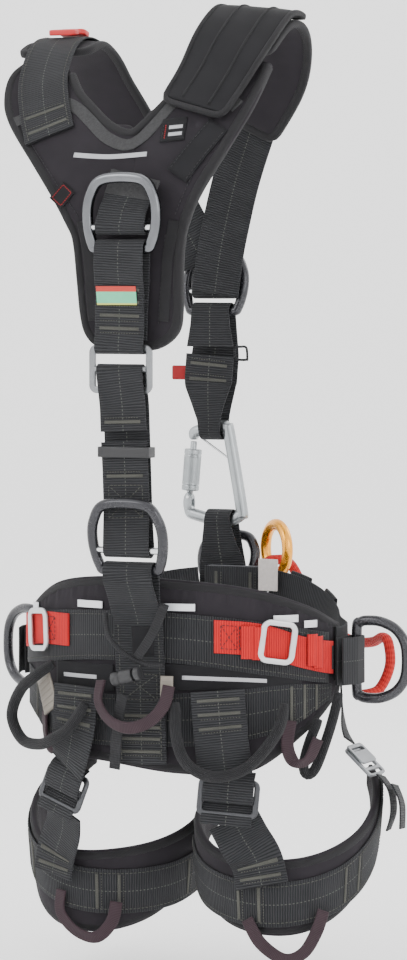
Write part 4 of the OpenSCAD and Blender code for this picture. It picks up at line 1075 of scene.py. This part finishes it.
def makePocket():
    pocket = [tapeGrid([[44, yokeY(440) - 1.7, 440, 0, -1, .25], [60, yokeY(463) - 1.7, 463, 0, -1, .42],
                        [75, yokeY(484) - 1.7, 484, 0, -1, .5]], 22),
              tapeGrid([[34, yokeY(470) - 1.5, 470, 0, -1, .45], [32, yokeY(490) - 1.5, 490, 0, -1, .6]], 22)]
    makePiece("yoke_pocket_cloth", [lath(*pocket[0], 1.0), lath(*pocket[1], 0.8)], "flap_cloth",
              node="yoke_pocket")
    bars = [lath(*patch(pocket[1], 5 + 7 * k, 8.4 + 7 * k, -4, 8.5, 0.6, 6, 4), 0.3) for k in range(2)]
    makePiece("yoke_pocket_bars", bars, "print")
    makePiece("yoke_pocket_seams", edgeSeams(pocket[0], 0.7, 1.6) + edgeSeams(pocket[1], 0.6, 1.6), "black_thread")
    makePiece("yoke_pocket_red_line", seam(pocket[1], [[3, -7.4], [18, -7.4]], 0.5, 1.6, 0.4, 0.5), "red_label")


# Part of a shoulder route from one of its rows to another, with its own widths
def shoulderSlice(side, first, last, widths, lift):
    rows = [shoulderRoutes[side][i] + [w] for i, w in zip(range(first, last + 1), widths)]
    return tapeGrid(rows, lift=lift, steps=10, columns=15)


# Rows that go round a level bar at c from angle a to b, 0 being its front and 90 its top
def roundBar(c, r, a, b, k=8, width=45.0):
    t = [math.radians(a + (b - a) * i / k) for i in range(k + 1)]
    return [[c[0], c[1] + r * math.cos(q), c[2] + r * math.sin(q), 0, math.cos(q), math.sin(q), width] for q in t]


# Middle of a ring's lower bar (end -1) or of its cross pin (end 1); side is -1 at the back and 1 at the front
def barOf(p, lean, end, side=-1):
    q = math.radians(lean)
    return [p[0], p[1] + end * side * barGap / 2 * math.sin(q), p[2] + end * barGap / 2 * math.cos(q)]


# Distance from a ring's bar or pin to the middle of the webbing round it
barWrap, pinWrap = 7.4, 5.8


def makeShoulders():
    left = tapeGrid(shoulderRoutes["left"], steps=8)
    c = barOf(sternalAt, ringLean, 1, 1)
    loop = tapeGrid([[-30, 111, 364, 0, 1, 0, 33], [-27, c[1] + pinWrap - 1, c[2] + 10, 0, 1, 0, 33]]
                    + roundBar(c, pinWrap, 0, -180, 8, 40) + [[-24, c[1] - pinWrap, c[2] + 17, 0, -1, 0, 40]], steps=0)
    makeStrap("shoulder_strap_left_webbing", [left, loop], node="shoulder_strap_left")
    right = tapeGrid(shoulderRoutes["right"], steps=8)
    makeStrap("shoulder_strap_right_webbing", right, node="shoulder_strap_right")
    pads = [shoulderSlice("left", 3, 7, [58, 58, 52, 48, 46], -6.0),
            shoulderSlice("right", 2, 7, [58, 60, 64, 66, 64, 46], -6.0)]
    makePad("shoulder_pad_pair", pads, "shoulder_pads", quilt=0.4)
    cover = shoulderSlice("right", 0, 4, [58, 62, 66, 66, 64], 4.4)
    makePad("shoulder_cover_quilted", cover, "shoulder_cover", thick=4.6, quilt=0.35, bind=5, finish="flap_cloth")
    long = lengthOf(cover)
    piping = []
    for x in (-14, 14):
        p, n = onGrid(cover, np.linspace(4, long - 4, 60), np.full(60, x), 2.2)
        piping.append(swept(p, section(2.6, sides=10), first=n[0]))
    makePiece("shoulder_cover_piping", piping, "binding")
    sewn = edgeSeams(left, 0.95) + tackRow(left, 10, 1.0, 36, 8) + tackRow(left, 26, 1.0, 36, 8)
    long = lengthOf(left)
    sewn += tackRow(left, long - 12, 1.0, 30, 8) + tackRow(right, 10, 1.0, 36, 8) + edgeSeams(right, 0.95)
    sewn += tackRow(right, lengthOf(right) - 12, 1.0, 34, 8)
    makePiece("shoulder_stitching", sewn, "thread")


# ---------- back of the harness ----------

def makeSpine():
    c = barOf(dorsalAt, 0, 1)
    hanger = tapeGrid([[9, -119.6, 440, 0, -1, .1], [6, -121.5, 430, 0, -1, .4], [3, -135, 410, 0, -.8, .6]]
                      + roundBar(c, pinWrap, 180, 360, 8) + [[2, c[1] + pinWrap, c[2] + 8, 0, 1, 0]], steps=0)
    makeStrap("dorsal_hanger_webbing", hanger, node="dorsal_hanger")
    patchGrid = tapeGrid([[9, -121.6, 441, 0, -1, .1], [7, -122.6, 432, 0, -1, .35], [5, -127.5, 422, 0, -.9, .5]], 47)
    makePiece("dorsal_hanger_patch", lath(*patchGrid, 1.1), "fuzz")
    c, rim = barOf(dorsalAt, 0, -1), [-2, -128, 293]
    face = facing(-1, [[1, -139.6, 360], [0, -134, 340], [-1, -132.6, 306]])
    strap = tapeGrid(facing(1, [[-2, rim[1] + 3.6, 300], [-1, -124.5, 330], [1, -125.6, 352]])
                     + roundBar(c, barWrap, 0, 180, 10) + face + roundBar(rim, 4.8, 180, 330, 8), steps=0)
    makeStrap("dorsal_strap_webbing", strap, node="dorsal_strap")
    front = tapeGrid(face, steps=10)
    sewn = []
    for k, at in enumerate((17, 28, 40, 51)):
        sewn += tackRow(front, at, 1.2, 37, 8 if k % 2 else 9)
    label = tapeGrid([[-2, -135.4, 330, 0, -1, 0], [-2, -136.6, 338, 0, -1, .1], [-2, -138, 346, 0, -1, .15]], 37)
    makeStrap("fall_indicator_label", label, 0.8, "green_label", node="fall_indicator")
    c = barOf(backAt, ringLean, 1)
    top = facing(-1, [[3, -133.2, 222], [2, -133, 244], [-1, -132.2, 266]], 42)
    foot = facing(-1, [[6, -135, 136], [5, -131.6, 158], [4, -132, 190], [3, -132.4, 213]], 42)
    inner = facing(1, [[-1, -124, 262], [1, -123.8, 244], [3, -124.6, 200], [5, -125.6, 150]], 42)
    spine = tapeGrid(top + roundBar(adjusterAt, 4.0, 180, 0, 8, 42) + inner
                     + roundBar(c, pinWrap, 0, -180, 10, 42) + foot, steps=0)
    makeStrap("spine_strap_webbing", spine, node="spine_strap")
    tail = tapeGrid(foot, steps=10)
    sewn += boxStitch(tail, 12, 40, 16, 1.1) + tackRow(tail, 48, 1.2, 34, 7)
    upper = tapeGrid(top, steps=10)
    sewn += tackRow(upper, 8, 1.2, 34, 7)
    c, beltY = barOf(backAt, ringLean, -1), -115.2
    below = facing(-1, [[9, beltY - 2, 58], [10, beltY, 20], [11, beltY, -30], [12, beltY, -66]])
    lumbar = tapeGrid(facing(1, [[8, -119.6, 72], [8, c[1] + barWrap, 92]]) + roundBar(c, barWrap, 0, 180, 10)
                      + facing(-1, [[8, c[1] - barWrap, 92], [8, -124, 74]]) + below, steps=0)
    makeStrap("lumbar_strap_webbing", lumbar, node="lumbar_strap")
    lower = tapeGrid(below, steps=12)
    sewn += boxStitch(lower, 46, 68, 16, 1.1)
    for at in (82, 92, 102, 113):
        sewn += tackRow(lower, at, 1.2, 36, 7)
    sewn += edgeSeams(lower, 1.0, 3.4)
    makePiece("spine_stitching", sewn, "thread")
    makePiece("lumbar_patch", lath(*patch(lower, 4, 30, -14, 6, 1.2, 14, 7), 0.8), "flap_cloth")


# ---------- chest and connector ----------

def makeChest():
    c = barOf(sternalAt, ringLean, -1, 1)
    top, foot, r = [-26, 112, 215], [-18, 112, 131.5], 9.6
    rear = [[-27, 103.4, 236, 0, -1, 0, 30], [-28, c[1] - 5, 256, 0, -1, 0, 46], [-26, c[1] - 5.4, 282, 0, -1, 0, 46]]
    chest = tapeGrid([[-25, c[1] - barWrap, 290, 0, -1, 0, 45], [-25, c[1] - barWrap, 310, 0, -1, 0, 38]]
                     + roundBar(c, barWrap, 180, 0, 10, 36)
                     + [[-25, c[1] + barWrap, 310, 0, 1, 0, 38], [-26, c[1] + 6, 282, 0, 1, 0, 46],
                        [-28, c[1] + 6, 256, 0, 1, 0, 46], [-27, 120.6, 236, 0, 1, 0, 30],
                        [-26, 112 + r, 224, 0, 1, 0, 22]]
                     + roundBar(top, r, 0, -180, 10, 20) + [[-26, 112 - r, 224, 0, -1, 0, 22]] + rear, steps=0)
    makeStrap("chest_strap_webbing", chest, node="chest_strap")
    ventral = tapeGrid([[-16, 110, 60, 0, -1, 0, 44], [-16, 110, 92, 0, -1, 0, 44], [-17, 105.6, 108, 0, -1, .2, 34]]
                       + roundBar(foot, r, 180, 0, 10, 24)
                       + [[-17, 118.4, 106, 0, 1, 0, 34], [-16, 115, 84, 0, 1, 0, 44], [-16, 112.6, 60, 0, 1, 0, 44]],
                       steps=0)
    makeStrap("ventral_strap_webbing", ventral, node="ventral_strap")
    rear = tapeGrid(rear, steps=10)
    makePiece("chest_stitching", tackRow(rear, 24, 1.2, 36, 8) + tackRow(rear, 38, 1.2, 36, 8), "thread")
    tag = placed(puck(roundedLoop(15, 13, 1.5), 1, 0.3), ([-58, 108, 266], [1, 0, 0], [0, 0, 1], [0, -1, 0]))
    makePiece("chest_tag_red", tag, "red_label", node="chest_tags")
    loop = np.array([[10, 108, 279], [9.5, 106.9, 289], [4, 106.7, 290], [-2, 107.2, 288.5], [-2, 108.9, 279.5],
                     [4, 109.2, 278], [9.5, 109.1, 278.4]], float)
    makePiece("chest_tag_loop", swept(smooth(loop, 8, True), section(2.2, 1.2, 12, 3), closed=True),
              "webbing")


gateLow, gateTop = np.array([-49.8, 112, 152.0]), np.array([-45.4, 112, 203.0])
gateDir = unit(gateTop - gateLow)


# Knurled sleeve: crossed diamonds 1.6 mm apart on its middle, smooth collars at both ends. The cut is nothing where
# both slanting sines peak and deepest where either is nought; grooves and rims fall off as exponentials
def sleevePart(a, b, inner, outer):
    long = float(np.linalg.norm(b - a))
    rows, sides = 110, 128
    s = np.linspace(0, long, rows)
    t = np.arange(sides) * 2 * math.pi / sides
    grip = np.clip((s - 6) / 1.2, 0, 1) * np.clip((long - 6 - s) / 1.2, 0, 1)
    teeth = round(2 * math.pi * outer / 1.6)
    p, q = t[None] * teeth / 2 + s[:, None] * 1.96, t[None] * teeth / 2 - s[:, None] * 1.96
    cut = 0.42 * grip[:, None] * (1 - np.abs(np.sin(p)) * np.abs(np.sin(q)))
    groove = 0.5 * np.exp(-((s - 5) / 0.5) ** 2) + 0.5 * np.exp(-((s - long + 5) / 0.5) ** 2)
    ease = 0.7 * np.exp(-s / 0.35) + 0.7 * np.exp(-(long - s) / 0.35)
    radius = outer - cut - (groove + ease)[:, None]
    s = np.concatenate([s, [long, 0]])
    radius = np.vstack([radius, np.full((2, sides), inner)])
    axis = unit(b - a)
    n = np.array([0.0, 1.0, 0.0])
    m = np.cross(axis, n)
    rays = np.cos(t)[:, None] * n + np.sin(t)[:, None] * m
    points = a + s[:, None, None] * axis + radius[..., None] * rays[None]
    return gridPart(points, np.arange(sides + 1) * 0.4, np.arange(rows + 3) * 0.35, wrapRows=True, wrapColumns=True)


def makeConnector():
    path = [[-45.3, 204.6], [-45.1, 208.5], [-42, 212.4], [-18, 217.6], [-12.6, 216], [-10, 211], [2.6, 142],
            [1.4, 136.6], [-3, 133.6], [-9, 130.6], [-15, 129.6], [-43, 135.6], [-49, 138.4], [-50.5, 144]]
    path = smooth([[x, 112, z] for x, z in path], 8)
    share = runOf(path) / runOf(path)[-1]
    # Both ends narrow to half, easing off over about a hundredth of the length
    ends = 1 - 0.5 * np.exp(-share / 0.012) - 0.5 * np.exp(-(1 - share) / 0.012)
    body = [swept(path, section(10.8, sides=28, power=2.3), first=[0, 1, 0], scale=ends)]
    for y in (107.9, 116.1):
        t = np.linspace(0, 2 * math.pi, 40, endpoint=False)
        outline = np.c_[-50.2 + 4 * np.cos(t), 146.5 + 9.5 * np.sin(t)]
        body.append(placed(puck(outline, 1.6, 0.4), ([0, y, 0], [1, 0, 0], [0, 0, 1], [0, -1, 0])))
    makePiece("connector_body_steel", body, "zinc_steel", node="connector_body")
    # The hub is a short tube, so that the hinge pin stands free in its bore
    rim = [[-3.15, 1.75], [-3.15, 3.3], [-2.85, 3.6], [2.85, 3.6], [3.15, 3.3], [3.15, 1.75], [2.9, 1.62],
           [-2.9, 1.62]]
    gate = [turned(gateLow + gateDir * 2.4, gateTop, bevelled(48.8, 3)),
            turned(gateLow, gateLow + [0, 1, 0], rim, 40, hollow=True)]
    makePiece("connector_gate_steel", gate, "zinc_steel", "gate", "connector_gate")
    sleeve = sleevePart(gateLow + gateDir * 6, gateLow + gateDir * 44, 3.1, 8)
    makePiece("connector_sleeve_knurled", sleeve, "zinc_steel", "sleeve", "connector_sleeve")
    makePiece("gate_pin_steel", turned(gateLow + [0, -5.2, 0], gateLow + [0, 5.2, 0], bevelled(10.4, 1.5, 0.3)),
              "bright_steel", node="gate_pin")
    wire = turned([-41, 118.7, 206], [-6, 118.7, 183], bevelled(41.9, 1.1, 0.3), 16)
    makePiece("captive_bar_wire", wire, "bright_steel", node="captive_bar")


makeYoke()
makePocket()
makeShoulders()
makeSpine()
makeChest()
makeConnector()
print("back and chest made")


# ---------- sides ----------

def makeSides():
    lugs = []
    for p, s in (([158, 14, 20], 1), ([-158, 14, 18], -1)):
        r = 6.4
        row = lambda x, y, nx, ny: [p[0] + s * x, p[1] + y, p[2], s * nx, ny, 0]
        turn = [math.radians(a) for a in range(180, -1, -12)]
        lugs.append(tapeGrid([row(-6, -32, -1, 0), row(-r, -14, -1, 0)]
                             + [row(r * math.cos(a), r * math.sin(a), math.cos(a), math.sin(a)) for a in turn]
                             + [row(r, -14, 1, 0), row(0, -32, 1, 0)], 40, steps=0))
    makeStrap("side_lug_pair", lugs, node="side_lugs")
    right = waistGrid(-61, -8, [32, 28, 17, 10], [59, 55, 43, 37], 11.4, 60)
    left = waistGrid(-152, -116, [26, 32, 33], [52, 59, 60], 11.4, 40)
    makeStrap("side_strap_red", [right, left], finish="red_webbing", node="side_straps")
    folds = []
    for a, low, high, deep in ((-49, 27, 54, 2.2), (-45, 26, 53, 2.6), (-22, 19, 45, 2.4), (-19, 17, 43, 2.8),
                               (-143, 30, 56, 2.2)):
        aa, zz = np.meshgrid(a + np.linspace(-2.6, 2.6, 12), np.linspace(low, high, 9), indexing="ij")
        rise = 13.4 + deep * np.cos(np.linspace(-math.pi / 2, math.pi / 2, 12))[:, None] + 0 * zz
        folds.append((waist(aa, zz, rise), waistNormal(aa)))
    makePiece("side_strap_folds", [lath(*g, 1.5) for g in folds], "red_webbing")
    box = []
    for start, stop in ((6, 20), (22, 34)):
        box += boxStitch(right, start, stop, 10, 1.0)
    box += boxStitch(left, 50, 66, 10, 1.0) + tackRow(right, 118, 1.1, 20, 7)
    makePiece("side_strap_stitching", box, "black_thread")
    for name, a, z, tilt in (("right", -38, 40, -8), ("left", -133, 44, 4)):
        at = waist(float(a), float(z), 14.7)
        turn = math.degrees(math.atan2(math.sin(math.radians(a)) / waistY, math.cos(math.radians(a)) / waistX)) + 90
        seat = seatOf(at, ("z", turn), ("x", 90), ("z", tilt))
        loop = frameRing(roundedLoop(34, 38, 9), roundedLoop(23, 28, 3), 3, 0.9)
        makePiece(f"side_buckle_{name}_loop", placed(loop, seat), "bright_alloy",
                  node=f"side_buckle_{name}")


# ---------- cord lock and elastics on the back ----------

def makeLock():
    tapes = [tapeGrid(facing(-1, [[37, -122, 74], [29, -129, 50], [16, -133.6, 28]], 7)),
             tapeGrid(facing(-1, [[3, -135, -4], [-4, -130, -28], [-10, -125, -70]], 9))]
    loop = smooth([[-20, -122, 64], [-14, -127, 44], [4, -131, 30], [24, -131, 22], [38, -127, 22]], 10)
    makePiece("elastic_tapes", [lath(*g, 1.4) for g in tapes] + [swept(loop, section(4.4, sides=16))],
              "elastic", node="cord_tape")
    at, axis = np.array([4.0, -137, 11]), np.array([math.cos(math.radians(14)), 0, math.sin(math.radians(14))])
    rows = [[-10, 5.2], [-9.4, 5.8], [-8.6, 6.0], [-3, 6.0], [-2.7, 5.5], [-2.1, 5.5], [-1.8, 6.0], [8.6, 6.0],
            [9.4, 5.8], [10, 5.2], [10, 4.25], [-10, 4.25]]
    makePiece("cord_lock_barrel_ribbed", turned(at, at + axis, rows, 40, hollow=True), "dark_plastic",
              node="cord_lock_barrel")
    rows = [[2, 3.5], [2, 4.0], [12.2, 4.0], [12.3, 5.2], [12.6, 5.9], [13.2, 6.0], [16.2, 6.0], [16.8, 5.6], [17, 4.8],
            [16.7, 3.2], [16.6, 1.5]]
    makePiece("cord_lock_button_cap", turned(at, at + axis, rows, 40), "dark_plastic", "lock_button",
              "cord_lock_button")
    s = np.linspace(0, 1, 120)[:, None]
    angle, side = s * 2 * math.pi * 7, np.array([0, 1, 0])
    coil = at + (s * 13.6 - 7.2) * axis + 2.5 * np.cos(angle) * side + 2.5 * np.sin(angle) * np.cross(axis, side)
    makePiece("cord_lock_spring_coil", swept(coil, section(0.9, sides=8)), "bright_steel",
              node="cord_lock_spring")


# ---------- loops on the belt ----------

gearRoutes = [
    ([[-78, -107, 17], [-92, -111, 7], [-113, -102, -8], [-126, -94, -32], [-114, -98, -52], [-90, -112, -54],
      [-70, -124, -47], [-52, -128, -36], [-37, -127.5, -14]], 5),
    ([[47, -123, -10], [50, -127, -40], [60, -127, -62], [79, -118, -73], [100, -107, -69], [114, -96, -56],
      [126, -83, -34], [129, -76, -12]], 5),
    ([[160, -30, -6], [151, -28, -36], [139, -30, -70], [132, -34, -78], [130, -38, -69], [138, -44, -48],
      [147, -44, -28]], 4.5),
]
accessoryRoutes = [
    ([[-23, -124.5, 6, -.3, -1, 0], [-22, -132, -12, -.4, -1, -.2], [-8, -138, -27, -.2, -1, -.4],
      [11, -140, -32, .1, -1, -.3], [29, -137, -26, .3, -1, -.2], [40, -131, -12, .5, -1, 0],
      [42, -125, 4, .4, -1, 0]], 8, 3),
    ([[-96, -89, -28, -.7, -.7, 0], [-96, -88, -46, -.7, -.7, -.3], [-90, -93, -60, -.4, -.8, -.7],
      [-82, -98, -48, -.3, -.9, 0]], 9, 2.4),
    ([[128, -62, -28, .6, -.8, 0], [127, -66, -50, .6, -.8, -.3], [133, -64, -64, .5, -.6, -.8],
      [142, -56, -62, .6, -.6, -.6], [149, -50, -44, .8, -.5, 0]], 9, 2.4),
]
legLoopRoutes = [
    ([[-85, -79, -186, -.3, -1, 0], [-86, -79, -206, -.3, -1, 0], [-70, -80, -222, -.1, -1, -.4],
      [-51, -79, -226, .1, -1, -.4], [-37, -76, -212, .4, -1, 0], [-33, -75, -194, .5, -1, 0]], 9, 2.4),
    ([[95, -80, -200, 0, -1, 0], [108, -80, -220, .2, -1, 0], [128, -76, -233, .4, -1, -.4],
      [143, -68, -228, .6, -1, -.4], [152, -60, -210, .7, -.8, 0], [156, -54, -192, .8, -.7, 0]], 9, 2.4),
]


def makeLoops():
    sleeves = []
    for route, r in gearRoutes:
        path = even(smooth(route, 10), 2.0)
        share = runOf(path) / runOf(path)[-1]
        # The sleeve is pinched by 28 per cent where it is sewn in
        pinch = 1 - 0.28 * (np.exp(-share / 0.03) + np.exp(-(1 - share) / 0.03))
        sleeves.append(swept(path, section(2 * r, sides=44), scale=pinch))
    makePiece("gear_loop_sleeves", sleeves, "loop_sleeve", node="gear_loops")
    makePiece("accessory_loop_tapes", [lath(*tapeGrid(r, w, steps=8), t) for r, w, t in accessoryRoutes],
              "brown_tape", node="accessory_loops")
    makePiece("leg_loop_tapes", [lath(*tapeGrid(r, w, steps=8), t) for r, w, t in legLoopRoutes],
              "brown_tape", node="leg_loops")
    slots = [tapeGrid([[-92, -99, 4, -.6, -.8, 0], [-80, -107, -24, -.5, -.85, 0]], 22, steps=10),
             tapeGrid([[38, -120.5, 12, .3, -1, 0], [38, -121.5, -8, .3, -1, 0]], 9, steps=10)]
    makePiece("tool_slot_plates", [lath(*g, 2.2) for g in slots], "beige_plastic", node="tool_slots")
    ribs = [lath(*patch(slots[0], 3 + 5.2 * k, 4.6 + 5.2 * k, -9.5, 9.5, 1.3, 6, 4), 0.6) for k in range(6)]
    ribs += [lath(*patch(slots[1], 3 + 5.2 * k, 4.4 + 5.2 * k, -3.4, 3.4, 1.3, 6, 4), 0.5) for k in range(3)]
    makePiece("tool_slot_ribs", ribs, "beige_plastic")


# ---------- legs ----------

legLeft = {"centre": [-68.5, 6], "turn": [-226, 34], "top": [-70, -96, -120, -144, -152, -150, -142, -126, -100],
           "low": [-90, -140, -176, -208, -220, -218, -202, -168, -126]}
legRight = {"centre": [94, 6], "turn": [-215, 48], "top": [-108, -112, -126, -144, -150, -148, -134, -110, -82],
            "low": [-122, -140, -170, -200, -212, -210, -190, -148, -98]}


def makeLegs():
    for name, leg in (("left", legLeft), ("right", legRight)):
        grid = thighGrid(leg["centre"], *leg["turn"], leg["low"], leg["top"], 4, 110, 21)
        makePad(f"leg_pad_{name}_soft", grid, f"leg_pad_{name}", quilt=0.45, crease=0.3, free=0.7)
    midLeft, midRight = [-112, -140, -166, -182, -186, -182, -170], [-158, -176, -186, -186, -174, -146, -104]
    bands = [thighGrid(legLeft["centre"], -205, 8, [z - 19 for z in midLeft], [z + 19 for z in midLeft], 9.3, 80),
             thighGrid(legRight["centre"], -160, 40, [z - 19 for z in midRight], [z + 19 for z in midRight], 9.3, 80)]
    makeStrap("leg_webbing_bands", bands, node="leg_webbing")
    risers = [
        tapeGrid([[-51, -117.6, 0, -.2, -1, 0], [-53, -117.6, -34, -.2, -1, 0], [-60, -113, -62, -.3, -1, .2],
                  [-64, -109, -73, -.3, -1, .3]], steps=8),
        tapeGrid([[-72, -101, -111, -.3, -.95, .1], [-77, -91, -130, -.3, -.9, .1], [-87, -85, -152, -.3, -.9, 0],
                  [-91, -84, -172, -.3, -.9, 0]], steps=8),
        tapeGrid([[80, -108, 0, .5, -1, 0], [82, -107.4, -30, .5, -1, 0], [84, -104, -60, .4, -1, .2],
                  [85, -102, -74, .4, -1, .2]], steps=8),
        tapeGrid([[89, -95, -112, .2, -1, .1], [96, -88, -130, .2, -1, .1], [106, -84, -148, .2, -1, 0],
                  [111, -83, -170, .2, -1, 0]], steps=8)]
    makeStrap("riser_webbing", risers, node="risers")
    sewn = []
    for g in bands:
        sewn += edgeSeams(g, 0.95)
        for share in (0.3, 0.36, 0.62, 0.68, 0.9):
            sewn += tackRow(g, lengthOf(g) * share, 1.1, 30, 8)
    for k, g in enumerate(risers):
        long = lengthOf(g)
        for at, size in ([(long - 8, 7), (long - 19, 7)] if k % 2 else [(8, 8), (20, 8), (32, 7)]):
            sewn += tackRow(g, at, 1.1, 36, size)
    makePiece("leg_stitching", sewn, "thread")
    links = [tapeGrid([[-138, 44, 4, -1, .3, 0], [-146, 48, -20, -1, .3, 0], [-150, 52, -44, -1, .3, 0],
                       [-146, 56, -60, -1, .3, 0]], 25, steps=8),
             tapeGrid([[124, 58, -4, .9, .4, 0], [127, 54, -26, .9, .4, .1], [132, 48, -45, .8, .3, .4],
                       [139, 43, -56, .75, .2, .6]], 22, steps=8)]
    makeStrap("leg_link_tapes", links, node="leg_links")
    tail = [tapeGrid([[170, 40, -85, .7, .2, .65], [181, 38, -98, .9, .2, .3], [184, 36, -116, 1, .2, 0],
                      [180, 34, -132, .9, .2, -.3]], 24, steps=8),
            tapeGrid([[184, 38, -92, .8, .2, .5], [192, 36, -108, 1, .2, 0], [193, 34, -130, 1, .2, 0]], 22, steps=8)]
    makeStrap("leg_tail_tapes", tail, node="leg_tail_right")
    at, lean = [155, 40, -73], ("y", 42)
    seat = seatOf(at, lean)
    parts = [placed(frameRing(roundedLoop(34, 36, 5), roundedLoop(26, 27, 2, (1.5, 0)), 2.6), seat)]
    bar = puck(roundedLoop(3.4, 28.5, 0.8, (9, 0)), 2.4, 0.4)
    makePiece("leg_buckle_frame_steel", parts + [placed(bar, seat)], "satin_grey", node="leg_buckle_frame")
    o = at + turnMatrix(*lean) @ np.array([-7, 0, 2.7])
    tongue = frameRing(roundedLoop(22, 32, 4), roundedLoop(4, 25, 1, (-5, 0)), 2)
    makePiece("leg_buckle_tongue_steel", placed(tongue, seatOf(o, lean)), "satin_grey",
              "buckle_tongue", "leg_buckle_tongue")


makeSides()
makeLock()
makeLoops()
makeLegs()
print("sides, loops and legs made")


# ---------- view layer update -------------------

bpy.context.view_layer.update()
